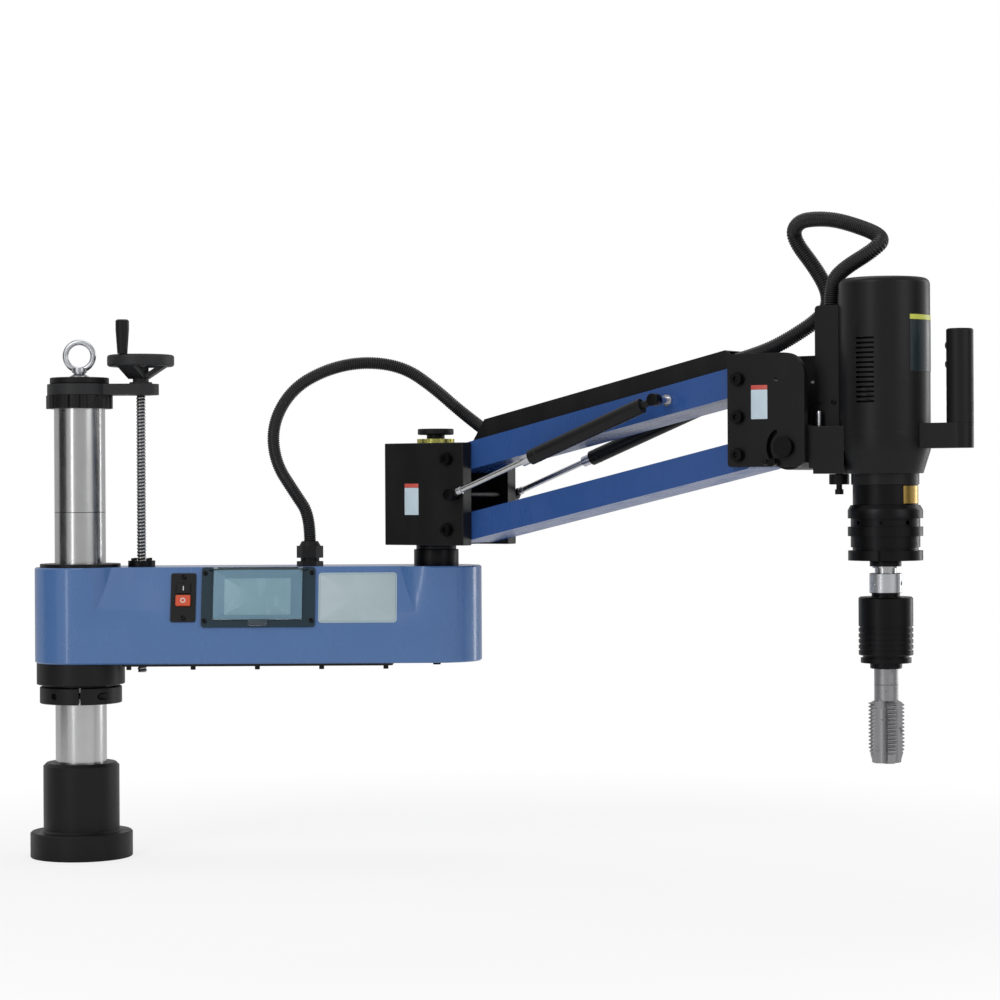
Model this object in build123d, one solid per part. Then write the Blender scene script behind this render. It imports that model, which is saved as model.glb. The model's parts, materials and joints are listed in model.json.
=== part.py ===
from build123d import *
import os
from math import atan2, cos, degrees, pi, radians, sin, sqrt, tan

# A bench-mounted arm tapping machine: a round column, a first arm that climbs it on a lead screw,
# a second arm of two parallel links with gas springs, and a motor head that stays level.
# Millimetres, +Z up. The origin is on the column's axis, at the underside of the base.
# +X runs along the first arm. Lengths that end in _LOW and _TOP are heights above the base.

# ---- room between pieces
PRESS = 0.02  # radial room round a seated piece
RUNNING = 0.05  # radial room round a turning or sliding one
GAP = 0.3  # room between faces that pass each other
SCREW_ROOM = 0.1  # radial room round a screw
PASS = 1  # radial room where a piece passes through another without being held
OVER = 1  # how far a cut or a joined piece reaches past the face that it meets
EDGE = 1  # broken edge of turned and cast pieces
FINE_EDGE = 0.8  # broken edge of small pieces

# ---- screws and threads, as shares of their size
SCREW_HEAD = 0.75  # a socket head's radius, over its thread size
SCREW_SOCKET = 0.45
SCREW_SOCKET_DEPTH = 0.5
THREAD_SHARES = (0.1, 0.4, 0.6, 0.9)  # root, crest, crest and root within each pitch

# ---- column and base
COLUMN_RADIUS = 38
COLUMN_TOP = 707
BASE_RADIUS = 76
BASE_THICK = 38
SLEEVE_RADIUS = 56.5
SLEEVE_TOP = 141
SLEEVE_CHAMFER = 5
SLEEVE_FILLET = 3
BASE_EDGE = 2
BASE_TURN = 45
SOCKET_FLOOR = 20
BASE_BOLTS = 4
BASE_BOLT_CIRCLE = 62  # radius of the ring of tapped holes
BASE_BOLT_HOLE = 5.1
BASE_BOLT_DEPTH = 25
BASE_GRUB_Z = 112
BASE_GRUB_ANGLES = (60, 120)
GRUB_RADIUS = 5
GRUB_SUNK = 3.5  # from the face to the end of the grub screw

COLLAR_RADIUS = 61
COLLAR_LOW = 230
COLLAR_TOP = 254.5
COLLAR_SLIT = 3
COLLAR_SLIT_ANGLE = -83.4
COLLAR_GRUB_ANGLE = -121.6
COLLAR_SCREW = 8  # thread size
COLLAR_SCREW_SEAT = 16  # from the slit to the seat of the head

LOCK_RING_RADIUS = 49.5
LOCK_RING_LOW = 670
LOCK_RING_TOP = 690
LOCK_RING_FLUTES = 12
LOCK_RING_FLUTE = 8
LOCK_RING_FLUTE_DEPTH = 3.5
LOCK_RING_TURN = 15

CAP_RADIUS = 44
CAP_THICK = 9.5
EYE_RING = 20.8  # middle of the bar
EYE_BAR = 4.3
EYE_HEIGHT = 32.5  # ring centre above the cap
EYE_COLLAR = 14.5
EYE_COLLAR_EDGE = 2
EYE_WAIST = 8
EYE_WAIST_HEIGHT = 6
EYE_NECK = 11.5
EYE_NECK_HEIGHT = 9
EYE_NECK_TOP = 14.5
EYE_THREAD = 6
EYE_THREAD_DEPTH = 30
EYE_THREAD_ROOM = 2

# ---- lead screw, its bracket and handwheel
SCREW_X = 92
SCREW_RADIUS = 7
SCREW_PITCH = 5
SCREW_THREAD_DEPTH = 1.1
SCREW_LOW = 275
JOURNAL_RADIUS = 6
BRACKET_RADIUS = 48
BRACKET_TIP = 27
BRACKET_PAD = 17
BRACKET_PAD_PROUD = 2.8
HUB_RADIUS = 12
HUB_HEIGHT = 23
WHEEL_RADIUS = 50
WHEEL_RIM_WIDTH = 12
WHEEL_RIM_HEIGHT = 17.5
WHEEL_SPOKES = 3
WHEEL_SPOKE_WIDTH = 30
WHEEL_SPOKE_THICK = 7
WHEEL_SPOKE_ROOT = 3  # how deep a spoke goes into the hub and the rim
GRIP_ANGLE = -120
GRIP_RING = 44  # distance of the revolving grip from the screw
GRIP_TOP_RADIUS = 10
GRIP_FOOT_RADIUS = 7.5
GRIP_HEIGHT = 51
GRIP_AXLE = 3.5
GRIP_AXLE_SHORT = 4  # from the axle's end to the grip's top
GRIP_WAIST = 0.3  # share of the grip above its widest place
GRIP_EDGE = 2

# ---- first arm
ARM_REACH = 534  # column axis to elbow axis
ARM_RADIUS = 67.75
ARM_LOW = 290.5
ARM_TOP = 433
ARM_EDGE = 2
BUSH_WALL = 5
BUSH_LENGTH = 34
BEARING_RADIUS = 65.5
BEARING_LOW = 258
RACE_RADIUS = 52
WIPER_RADIUS = 60
WIPER_THICK = 5
NUT_FLANGE = 20
NUT_FLANGE_THICK = 9
NUT_BODY = 12
NUT_LENGTH = 38
NUT_SCREW = 4
NUT_SCREW_RING = 16
NUT_SCREW_LENGTH = 18
NUT_SCREWS = 4
NUT_SCREW_TURN = 45
CAVITY_LEFT = 122
CAVITY_RIGHT = ARM_REACH - 70
CAVITY_FRONT = -34
CAVITY_BACK = 50
CAVITY_ROOF = 10
COVER_THICK = 3.5
COVER_LEFT = 70
COVER_RIGHT = ARM_REACH - 64
COVER_HALF = 64
COVER_SCREW = 5
COVER_CORNER = 8
COVER_SCREW_LENGTH = 12
COVER_SCREW_INSET = 10
COVER_SCREW_COUNT = 5
COVER_SCREW_FIRST = COVER_LEFT + COVER_SCREW_INSET
COVER_SCREW_SPAN = COVER_RIGHT - COVER_SCREW_INSET - COVER_SCREW_FIRST
COVER_SCREW_PITCH = COVER_SCREW_SPAN / (COVER_SCREW_COUNT - 1)
COVER_SCREW_ROW = 58
DRIVE_BOX = (150, 300, -12, 44, 96)  # left, right, front, back, height
DRIVE_EDGE = 2
PANEL_LOW = 343
PANEL_TILT = 15.5

# ---- control panel, in its own frame: x along the arm, y up the slope, z out of it
SWITCH_X = 160.8
SWITCH_Y = 46.7
SWITCH_WIDTH = 37
SWITCH_HEIGHT = 73.6
SWITCH_THICK = 2.5
SWITCH_BOX = (30, 48, 25)
SWITCH_BOX_Y = 51
SWITCH_SCREW_Y = (15.9, 77.8)
SWITCH_SCREW_LENGTH = 8
SWITCH_CORNER = 3
BUTTON_CORNER = 2
BUTTON_WIDTH = 22
BUTTON_HEIGHT = 16.4
BUTTON_DEPTH = 9
START_Y = 60.4
START_PROUD = 4
STOP_Y = 41.6
STOP_PROUD = 6.5
BUTTON_TRAVEL = 2.5
BEZEL_LEFT = 187.7
BEZEL_RIGHT = 355.5
BEZEL_LOW = 1.5
BEZEL_HIGH = 92
BEZEL_THICK = 4
BEZEL_BACK = (130, 62, 18)
DISPLAY_LEFT = 221.2
DISPLAY_RIGHT = 320.6
DISPLAY_LOW = 18.7
DISPLAY_HIGH = 75.4
DISPLAY_RECESS = 2
BEZEL_CORNER = 4
BEZEL_SCREW_LENGTH = 10
BEZEL_SCREW_INSET = 5
BEZEL_SCREW_Y = 10.4
PANEL_SCREW = 4
FLAP_LEFT = 205.1
FLAP_RIGHT = 337
FLAP_LOW = 12.2
FLAP_THICK = 2.5
FLAP_TAB_LEFT = 257.1
FLAP_TAB_RIGHT = 285.7
FLAP_TAB_LOW = 2.5
FLAP_HINGE_Y = 89.2
FLAP_HINGE_Z = 6.6
FLAP_BARREL = 2.3
FLAP_PIN = 1
FLAP_LUG = 6
FLAP_TAB_CORNER = 3

# ---- cable gland and elbow stack
GLAND_X = 344.5
GLAND_HEX = 20
GLAND_BASE = 7
GLAND_NECK = 14
GLAND_NECK_TOP = 12
GLAND_CAP_TOP = 30
GLAND_TOP = 37
GLAND_THREAD = 10
GLAND_THREAD_LENGTH = 18
GLAND_CONE = 0.8  # radius of the cone's foot, over the hexagon's
GLAND_LIP = 3
SHAFT_RADIUS = 20
SHAFT_LOW = 300
SHAFT_FOOT = 5
SHAFT_FOOT_LOW = 284.5
SPACER_RADIUS = 33.5
SPACER_TOP = 457
WASHER_RADIUS = 30
WASHER_TOP = 464
SPIGOT_RADIUS = 15
SHAFT_THREAD = 12
BEARING_CAP_RADIUS = 28
BEARING_CAP_THICK = 7
BEARING_CAP_TEETH = 24
BEARING_CAP_TOOTH = 1.6
BEARING_CAP_FOOT = 2
KNOB_RADIUS = 27
KNOB_THICK = 9
KNOB_NECK = 13.5
KNOB_NECK_HEIGHT = 6
KNOB_EDGE = 2

# ---- second arm, in its own frame: x away from the elbow, y to the far side
ARM_TURN = 34  # degrees that the second arm is turned towards the front
BLOCK_BACK = -44
BLOCK_FRONT = 97.5
BLOCK_HALF = 70
BLOCK_TOP = 615
SLOT_BACK = 43
BLOCK_SEAT = 26
BLOCK_SEAT_DEPTH = 15.7
LINK_WIDTH = 95
LINK_HEIGHT = 40
LINK_LENGTH = 490
LINK_TILT = 12.3
LINK_WALL = 6
LINK_BOSS = 15
PIN_X = 70.2
UPPER_PIN_Z = 590.7
LOWER_PIN_Z = 487.1
PIN_RADIUS = 8
PIN_WASHER = 10
PIN_WASHER_THICK = 2
PIN_HEAD = 8.5
PIN_HEAD_THICK = 6
BALL_RADIUS = 6.5
BALL_NECK = 3.5
BALL_SIDE = 82  # from the arm's middle plane to each gas spring
STUD_RADIUS = 5
STUD_COLLAR = 8
STUD_COLLAR_THICK = 3
LOWER_BALL_X = 84.3
LOWER_BALL_Z = 538.4
UPPER_BALL_ALONG = 368.3  # along the upper link from its elbow pin
SOCKET_RADIUS = 8
SOCKET_HALF = 7
ROD_RADIUS = 4.25
ROD_LENGTH = 250
PISTON_RADIUS = 6.2
PISTON_LENGTH = 10
CYLINDER_RADIUS = 11
CYLINDER_BORE = 8.7
CYLINDER_START = 149.3
CYLINDER_END = 348
CYLINDER_HEAD = 8
CYLINDER_EDGE = 1.5
NOSE_RADIUS = 7.5
NOSE_BORE = 6.6
NOSE_LENGTH = 13.8

COVER_START = 16  # link cover, along the upper link
COVER_END = LINK_LENGTH
COVER_HEIGHT = 30
COVER_SIDE = 24
COVER_WALL = 2
COVER_BULKHEAD = LINK_LENGTH - 52
COVER_HOLE = 6  # length of a hole through the cover's wall, over the wall
COVER_SLOPE = 135  # degrees from the link cover's upright to the way in at its sloping end

# ---- yoke, which is drawn for links of this run and rise and moves along with other ones
DRAWN_RUN = 478.753
DRAWN_RISE = 104.385
YOKE_INNER = 49
YOKE_PLATE = 10
YOKE_LEFT = 532
YOKE_RIGHT = 650
YOKE_LOW = 575
YOKE_TOP = 729.5
YOKE_SMALL_RADIUS = 5
YOKE_TOP_RADIUS = 32
YOKE_LOW_RADIUS = 12
SPACER_BAR = 10
TILT_X = 620.3
TILT_Z = 601.6
TILT_HEAD = 14
TILT_HEAD_THICK = 8
TILT_SLOT_RING = 25
TILT_SLOT_START = 126
TILT_SLOT_END = 237
TILT_SLOT_WIDTH = 7
TILT_LOCK_ANGLE = 236
YOKE_SMALL_HOLE = (607, 693, 2.5)

# ---- motor head
HEAD_X = 740.6
TONGUE_RADIUS = 31
TONGUE_HALF = 48.5
HEAD_BLOCK_LEFT = 650.7
HEAD_BLOCK_STEP = 657
HEAD_BLOCK_LOW = 565
HEAD_BLOCK_STEP_LOW = 572.6
HEAD_BLOCK_TOP = 629
TONGUE_SHARE = 0.7  # half height of the tongue's straight part, over its radius
CASE_RADIUS = 61
CASE_TOP = 619.5
CASE_BAND_LOW = 596.7
CASE_CONE_RADIUS = 51
FLANGE_RADIUS = 45.5
FLANGE_LOW = 550
CASE_CAVITY = 44
CASE_FLOOR = 8
CASE_ROOF = 8.5
MOTOR_TOP = 827
MOTOR_EDGE = 9
MOTOR_WALL = 3
VENTS = 14
VENT_FIRST = CASE_TOP + 0.1976 * (MOTOR_TOP - CASE_TOP)
VENT_PITCH = 0.0313 * (MOTOR_TOP - CASE_TOP)
VENT_HEIGHT = 0.46 * VENT_PITCH
VENT_WIDTH = 27
CORE_RADIUS = 52
CORE_TOP = MOTOR_TOP - 30.6
PINION_RADIUS = 10.7
PLANETS = 3
PLANET_RADIUS = 13
PLANET_ORBIT = 24
PLANET_PIN = 4
PLANET_THICK = 15
CARRIER_RADIUS = 36
CARRIER_THICK = 7
ADAPTER_RADIUS = 43.5
ADAPTER_LOW = 522.7
ADAPTER_EDGE = 0.4
RING_RADIUS = 50.3
WAIST_RADIUS = 46.4
RING_CHAMFER_LOW = 516
RING_EDGES = (504.8, 493.5, 481, 466)
NUT_RING_RADIUS = 50
NUT_RING_TOP = 461.5
NUT_RING_LOW = 448.3
NUT_RING_NECK = 44
NUT_RING_NOTCH = 9
NUT_RING_NOTCHES = 4
HEAD_TURN = 20  # of the tommy holes, the notches and the tap's flutes
TOMMY_HOLES = 8
TOMMY_HOLE = 3
TOMMY_DEPTH = 5
BEARING_SEAT = 28
BEARING_WIDTH = 16
HOUSING_FLOOR = 6
SPINDLE_RADIUS = 15.5
SPINDLE_COLLAR = 17.5
SPINDLE_COLLAR_LOW = 438
NOSE_PIN = 14.5
NOSE_PIN_LOW = 375
SLEEVE_RING_RADIUS = 21.75
SLEEVE_RING_LOW = 404.4
SLEEVE_RING_TOP = 431
SLEEVE_HOLES = 3
SLEEVE_TURN = 10
HOLDER_RADIUS = 36.5
HOLDER_TOP = 399.3
HOLDER_LOW = 321
HOLDER_COLLAR = 19
HOLDER_EDGE = 2
HOLDER_GROOVES = 5
HOLDER_GROOVE_FIRST = 327
HOLDER_GROOVE_PITCH = 7.5
HOLDER_GROOVE = 3
HOLDER_GROOVE_DEPTH = 1.4
HOLDER_NECK = 31
HOLDER_RING = 33.9
HOLDER_RING_TOP = 317.4
HOLDER_RING_LOW = 310.8
HOLDER_MOUTH = 21.4
HOLDER_MOUTH_LOW = 302.9
TAP_SHANK = 16
TAP_SHANK_LOW = 257
TAP_SHANK_TOP = 350
TAP_RADIUS = 24
TAP_PITCH = 5
TAP_THREAD_DEPTH = 2.7
TAP_LOW = 179
TAP_TIP = 176
TAP_FLUTES = 4
TAP_FLUTE = 9
TAP_FLUTE_RING = 24
TAP_TIP_TAPER = 3
TAP_LEAD = 4  # length of the lead, in threads
TAP_LEAD_CUT = 5  # how far the lead's cutting cone reaches past the threads

DUCT_LEFT = 648.7
DUCT_RIGHT = 684.5
DUCT_HALF = 25
DUCT_TOP = 793
DUCT_WALL = 2
DUCT_EDGE = 5
DUCT_HOSE_X = 662
HANDLE_X = 850
HANDLE_RADIUS = 17.9
HANDLE_LOW = 598
HANDLE_BAR_TOP = 631.5
HANDLE_TOP = 756
FINGER_RADIUS = 9
FINGER_DEPTH = 2.5
HANDLE_EDGE = 3
FINGER_Z = (658, 677)
GRIP_BUTTON_Z = (709, 734)
GRIP_BUTTON_RADIUS = 4.5
GRIP_BUTTON_PROUD = 1.5
GRIP_BUTTON_LENGTH = 8
GRIP_BUTTON_TRAVEL = 1.2
PLUNGER_X = 672
PLUNGER_KNOB = 13.7
PLUNGER_KNOB_HEIGHT = 14.3
PLUNGER_STEM = 4
PLUNGER_STEM_HEIGHT = 6.4
PLUNGER_CAP = 5.8
PLUNGER_CAP_HEIGHT = 7
PLUNGER_PIN = 5
PLUNGER_PIN_LENGTH = 24
PLUNGER_BORE_DEPTH = 32
LEVER_SCREW = 3.2
LEVER_SCREW_LENGTH = 20
LEVER_HUB = 5.5
LEVER_HUB_LENGTH = 12
LEVER_ARM = 12
LEVER_BALL = 4

# ---- corrugated hoses
HOSE_ARM_RADIUS = 9.25
HOSE_ARM_BORE = 7.15
HOSE_HEAD_RADIUS = 10.6
HOSE_HEAD_BORE = 8.25
HOSE_WALL = 0.8
RIB_PITCH = 3.3
BEND_SHARE = 0.45  # share of a corner's shorter run that its arc takes
NO_TURN = 1e-9  # a smaller cross product of two headings counts as straight on
RIB_SHARES = (0.02, 0.27, 0.6, 0.85)  # root, crest, crest and root within each rib's pitch
HOSE_LEADS = (38.5, 52, 46, 26)  # the first and last run of the arm's hose, then of the head's hose
# Each route's corners between those runs, which stand square on what the hose ends in: the arm's
# hose in the machine's frame, the head's hose in the second arm's frame.
HOSE_ARM_ROUTE = (
    (323, -1, 541),
    (293, -7, 589),
    (290, -12, 646),
    (320, -14, 698),
    (372, -18, 727),
    (430, -22, 738),
    (488, -25, 729),
    (532, -36, 698),
)
HOSE_HEAD_ROUTE = (
    (581, 12, 746),
    (634, 36, 784),
    (640, 37, 812),
    (621, 38, 846),
    (584, 33, 894),
    (601, 19, 914),
    (638, 10, 915),
    (671, 17, 910),
    (734, 13, 886),
    (736, -10, 868),
    (677, -8, 839),
)
DRAWN_ARM_RUN = 189.5  # from the gland to the elbow, for the arm's hose as it is drawn

SECOND_ARM = Location((ARM_REACH, 0, 0), (0, 0, -ARM_TURN))
UPPER_LINK = Pos(PIN_X, 0, UPPER_PIN_Z) * Rot(0, -LINK_TILT, 0)
LOWER_LINK = Pos(PIN_X, 0, LOWER_PIN_Z) * Rot(0, -LINK_TILT, 0)
UPPER_BALL_X = PIN_X + UPPER_BALL_ALONG * cos(radians(LINK_TILT))
UPPER_BALL_Z = UPPER_PIN_Z + UPPER_BALL_ALONG * sin(radians(LINK_TILT))
SPRING_RUN = UPPER_BALL_X - LOWER_BALL_X
SPRING_RISE = UPPER_BALL_Z - LOWER_BALL_Z
SPRING_LENGTH = sqrt(SPRING_RUN**2 + SPRING_RISE**2)
SPRING = Pos(LOWER_BALL_X, 0, LOWER_BALL_Z) * Rot(0, -degrees(atan2(SPRING_RISE, SPRING_RUN)), 0)
PANEL = Location(
    Plane(
        origin=(0, -ARM_RADIUS, PANEL_LOW),
        x_dir=(1, 0, 0),
        z_dir=(0, -cos(radians(PANEL_TILT)), sin(radians(PANEL_TILT))),
    )
)
LINK_RUN = LINK_LENGTH * cos(radians(LINK_TILT))
LINK_RISE = LINK_LENGTH * sin(radians(LINK_TILT))
YOKE_PIN_X = PIN_X + DRAWN_RUN
YOKE_UPPER_Z = UPPER_PIN_Z + DRAWN_RISE
YOKE_LOWER_Z = LOWER_PIN_Z + DRAWN_RISE
HEAD_SHIFT = Pos(LINK_RUN - DRAWN_RUN, 0, LINK_RISE - DRAWN_RISE)
YOKE = SECOND_ARM * HEAD_SHIFT
BLOCK_LOW = WASHER_TOP + GAP
WHEEL_LOW = COLUMN_TOP + BRACKET_PAD_PROUD
RIM_LOW = WHEEL_LOW + HUB_HEIGHT
CAP_TOP = COLUMN_TOP + CAP_THICK
KNOB_LOW = BLOCK_TOP + BEARING_CAP_THICK + GAP
SPRING_SIDES = (-1, 1)


# ---- plain shapes


def rod(radius, low, top, x=0, y=0):
    """A round bar that stands on Z, between two heights."""
    return Pos(x, y, (low + top) / 2) * Cylinder(radius, top - low)


def ring(radius, bore, low, top, x=0, y=0):
    """A ring that stands on Z, between two heights."""
    return rod(radius, low, top, x, y) - rod(bore, low - OVER, top + OVER, x, y)


def bar(radius, near, far, x, z):
    """A round bar along Y, between two places."""
    return Pos(x, (near + far) / 2, z) * Rot(90, 0, 0) * Cylinder(radius, far - near)


def block(left, right, front, back, low, top):
    """A box between six planes."""
    middle = Pos((left + right) / 2, (front + back) / 2, (low + top) / 2)
    return middle * Box(right - left, back - front, top - low)


def turned(*corners):
    """A solid turned about Z from corners given as radius and height."""
    outline = Polyline(*[(r, 0, z) for r, z in corners], close=True)
    return revolve(make_face(outline), Axis.Z)


def slab(outline, near, far):
    """An outline of x and z, as thick along Y as from near to far."""
    return Pos(0, far, 0) * Rot(90, 0, 0) * extrude(outline, far - near)


def about(x, y=0):
    """The upright axis that stands at x and y."""
    return Pos(x, y, 0)


def around(count, start=0):
    """Turns about Z, evenly spaced."""
    return [Rot(0, 0, start + 360 * i / count) for i in range(count)]


def cap_screw(size, length):
    """A socket head screw: its head stands on Z = 0, its shank hangs below."""
    head = rod(SCREW_HEAD * size, 0, size)
    socket = Pos(0, 0, (1 - SCREW_SOCKET_DEPTH) * size)
    socket *= extrude(RegularPolygon(SCREW_SOCKET * size, 6), size)
    return head - socket + rod(size / 2, -length, 0)


def screw_hole(size, length):
    """The hole that a cap screw's shank goes into, open at the top."""
    return rod(size / 2 + SCREW_ROOM, -length - SCREW_ROOM, 1)


def threaded(radius, depth, pitch, low, top):
    """A bar with rings as deep and as wide as its thread, plain for a quarter pitch at each end."""
    root = radius - depth
    corners = [(0, low), (root, low)]
    turns = int((top - low) / pitch)
    start = low + (top - low - turns * pitch) / 2
    for i in range(turns):
        for share, size in zip(THREAD_SHARES, (root, radius, radius, root)):
            corners.append((size, start + (i + share) * pitch))
    corners += [(root, top), (0, top)]
    return turned(*corners)


# ---- base and column


def base_stand():
    """Flange and sleeve in one, with the column's socket and tapped holes from below."""
    body = turned(
        (0, 0),
        (BASE_RADIUS - EDGE, 0),
        (BASE_RADIUS, EDGE),
        (BASE_RADIUS, BASE_THICK - BASE_EDGE),
        (BASE_RADIUS - BASE_EDGE, BASE_THICK),
        (SLEEVE_RADIUS + SLEEVE_FILLET, BASE_THICK),
        (SLEEVE_RADIUS, BASE_THICK + SLEEVE_FILLET),
        (SLEEVE_RADIUS, SLEEVE_TOP - SLEEVE_CHAMFER),
        (SLEEVE_RADIUS - SLEEVE_CHAMFER, SLEEVE_TOP),
        (0, SLEEVE_TOP),
    )
    body -= rod(COLUMN_RADIUS + PRESS, SOCKET_FLOOR, SLEEVE_TOP + OVER)
    for turn in around(BASE_BOLTS, BASE_TURN):
        body -= turn * rod(BASE_BOLT_HOLE, -1, BASE_BOLT_DEPTH, BASE_BOLT_CIRCLE)
    for angle in BASE_GRUB_ANGLES:
        body -= grub(angle, BASE_GRUB_Z, SLEEVE_RADIUS + OVER, SCREW_ROOM)
    return body


def grub(angle, z, end, room=0):
    """A headless screw that points at the column, or the hole for one."""
    start = COLUMN_RADIUS + GAP - room
    along = Pos((start + end) / 2, 0, z) * Rot(0, 90, 0)
    return Rot(0, 0, angle) * along * Cylinder(GRUB_RADIUS + room, end - start)


def column():
    """The ground steel column, with the lifting eye's thread in its top."""
    body = rod(COLUMN_RADIUS, SOCKET_FLOOR, COLUMN_TOP)
    body = chamfer(body.edges().filter_by(GeomType.CIRCLE), EDGE)
    return body - rod(EYE_THREAD + PRESS, COLUMN_TOP - EYE_THREAD_DEPTH - EYE_THREAD_ROOM, COLUMN_TOP + OVER)


def collar_screw_place():
    """The clamp screw's place: its head's seat beside the slit, its axis across the slit."""
    middle = (COLUMN_RADIUS + COLLAR_RADIUS) / 2
    height = (COLLAR_LOW + COLLAR_TOP) / 2
    turn = Rot(0, 0, COLLAR_SLIT_ANGLE)
    return turn * Pos(middle, COLLAR_SCREW_SEAT, height) * Rot(-90, 0, 0)


def stop_collar():
    """The split collar that the first arm comes to rest on."""
    body = ring(COLLAR_RADIUS, COLUMN_RADIUS + PRESS, COLLAR_LOW, COLLAR_TOP)
    body = chamfer(body.edges().filter_by(GeomType.CIRCLE), EDGE)
    half = COLLAR_SLIT / 2
    slit = block(0, COLLAR_RADIUS + OVER, -half, half, COLLAR_LOW - OVER, COLLAR_TOP + OVER)
    body -= Rot(0, 0, COLLAR_SLIT_ANGLE) * slit
    place = collar_screw_place()
    body -= place * screw_hole(COLLAR_SCREW, 2 * COLLAR_SCREW_SEAT)
    body -= place * rod(SCREW_HEAD * COLLAR_SCREW + SCREW_ROOM, 0, COLLAR_RADIUS)
    return body - grub(COLLAR_GRUB_ANGLE, collar_middle(), COLLAR_RADIUS + OVER, SCREW_ROOM)


def collar_middle():
    return (COLLAR_LOW + COLLAR_TOP) / 2


def collar_screws():
    """The stop collar's clamp screw and grub screw, and the base's two grub screws."""
    clamp = collar_screw_place() * cap_screw(COLLAR_SCREW, 2 * COLLAR_SCREW_SEAT)
    screws = [clamp, grub(COLLAR_GRUB_ANGLE, collar_middle(), COLLAR_RADIUS - GRUB_SUNK)]
    for angle in BASE_GRUB_ANGLES:
        screws.append(grub(angle, BASE_GRUB_Z, SLEEVE_RADIUS - GRUB_SUNK))
    return screws


def lock_ring():
    """The fluted ring that carries the screw's bracket."""
    body = ring(LOCK_RING_RADIUS, COLUMN_RADIUS + PRESS, LOCK_RING_LOW, LOCK_RING_TOP)
    centre = LOCK_RING_RADIUS - LOCK_RING_FLUTE_DEPTH + LOCK_RING_FLUTE
    for turn in around(LOCK_RING_FLUTES, LOCK_RING_TURN):
        body -= turn * rod(LOCK_RING_FLUTE, LOCK_RING_LOW - OVER, LOCK_RING_TOP + OVER, centre)
    return body


def column_cap():
    """The disc on top of the column."""
    body = ring(CAP_RADIUS, EYE_THREAD + PRESS, COLUMN_TOP, CAP_TOP)
    rim = body.edges().filter_by(GeomType.CIRCLE).sort_by(SortBy.RADIUS)[-2:]
    return chamfer(rim, EDGE)


def lifting_eye():
    """The eye bolt that the machine is lifted by."""
    loop = Pos(0, 0, CAP_TOP + EYE_HEIGHT) * Rot(90, 0, 0) * Torus(EYE_RING, EYE_BAR)
    foot = turned(
        (0, CAP_TOP),
        (EYE_COLLAR, CAP_TOP),
        (EYE_COLLAR, CAP_TOP + EYE_COLLAR_EDGE),
        (EYE_WAIST, CAP_TOP + EYE_WAIST_HEIGHT),
        (EYE_NECK, CAP_TOP + EYE_NECK_HEIGHT),
        (EYE_NECK, CAP_TOP + EYE_NECK_TOP),
        (0, CAP_TOP + EYE_NECK_TOP),
    )
    foot -= Pos(0, 0, CAP_TOP + EYE_HEIGHT) * Rot(90, 0, 0) * Cylinder(EYE_RING - EYE_BAR, 3 * EYE_NECK)
    foot &= block(-EYE_COLLAR, EYE_COLLAR, -EYE_COLLAR, EYE_COLLAR, CAP_TOP, CAP_TOP + EYE_NECK_TOP)
    return foot + loop + rod(EYE_THREAD, COLUMN_TOP - EYE_THREAD_DEPTH, CAP_TOP)


# ---- lead screw


def screw_bracket():
    """The plate that swings on the column's top and holds the lead screw upright."""
    low = LOCK_RING_TOP + GAP
    top = COLUMN_TOP - GAP
    plate = rod(BRACKET_RADIUS, low, top) + rod(BRACKET_TIP, low, top, SCREW_X)
    plate += block(0, SCREW_X, -BRACKET_TIP, BRACKET_TIP, low, top)
    plate += rod(BRACKET_PAD, LOCK_RING_TOP - GAP, WHEEL_LOW - GAP, SCREW_X)
    plate -= rod(COLUMN_RADIUS + RUNNING, low - OVER, top + OVER)
    return plate - rod(JOURNAL_RADIUS + RUNNING, LOCK_RING_LOW, WHEEL_LOW, SCREW_X)


def lead_screw():
    """The screw that lifts the arm, with a plain journal through the bracket and the wheel."""
    shoulder = LOCK_RING_TOP - 2 * GAP
    thread = threaded(SCREW_RADIUS, SCREW_THREAD_DEPTH, SCREW_PITCH, SCREW_LOW, shoulder)
    journal = rod(JOURNAL_RADIUS, shoulder, RIM_LOW)
    end_nut = extrude(RegularPolygon(1.5 * JOURNAL_RADIUS, 6), JOURNAL_RADIUS)
    return about(SCREW_X) * (thread + journal + Pos(0, 0, RIM_LOW) * end_nut)


def handwheel():
    """Hub, dished spokes and rim, with the axle of the revolving grip."""
    hub = ring(HUB_RADIUS, JOURNAL_RADIUS + PRESS, WHEEL_LOW, RIM_LOW)
    rim_top = RIM_LOW + WHEEL_RIM_HEIGHT
    inner = WHEEL_RADIUS - WHEEL_RIM_WIDTH
    rim = ring(WHEEL_RADIUS, inner, RIM_LOW, rim_top)
    rim = fillet(rim.edges().filter_by(GeomType.CIRCLE), WHEEL_RIM_WIDTH / 3)
    body = hub + rim
    start = HUB_RADIUS - WHEEL_SPOKE_ROOT
    run = inner + WHEEL_SPOKE_ROOT - start
    foot = WHEEL_LOW + HUB_HEIGHT / 3
    rise = RIM_LOW + WHEEL_RIM_HEIGHT / 3 - foot
    length = sqrt(run**2 + rise**2)
    lean = -degrees(atan2(rise, run))
    spoke = Box(length, WHEEL_SPOKE_WIDTH, WHEEL_SPOKE_THICK)
    place = Pos(start + run / 2, 0, foot + rise / 2) * Rot(0, lean, 0)
    for turn in around(WHEEL_SPOKES):
        body += turn * place * spoke
    body -= rod(JOURNAL_RADIUS + PRESS, WHEEL_LOW - OVER, rim_top + OVER)
    axle = rod(GRIP_AXLE, rim_top - OVER, rim_top + GRIP_HEIGHT - GRIP_AXLE_SHORT, GRIP_RING)
    return about(SCREW_X) * (body + Rot(0, 0, GRIP_ANGLE) * axle)


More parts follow.
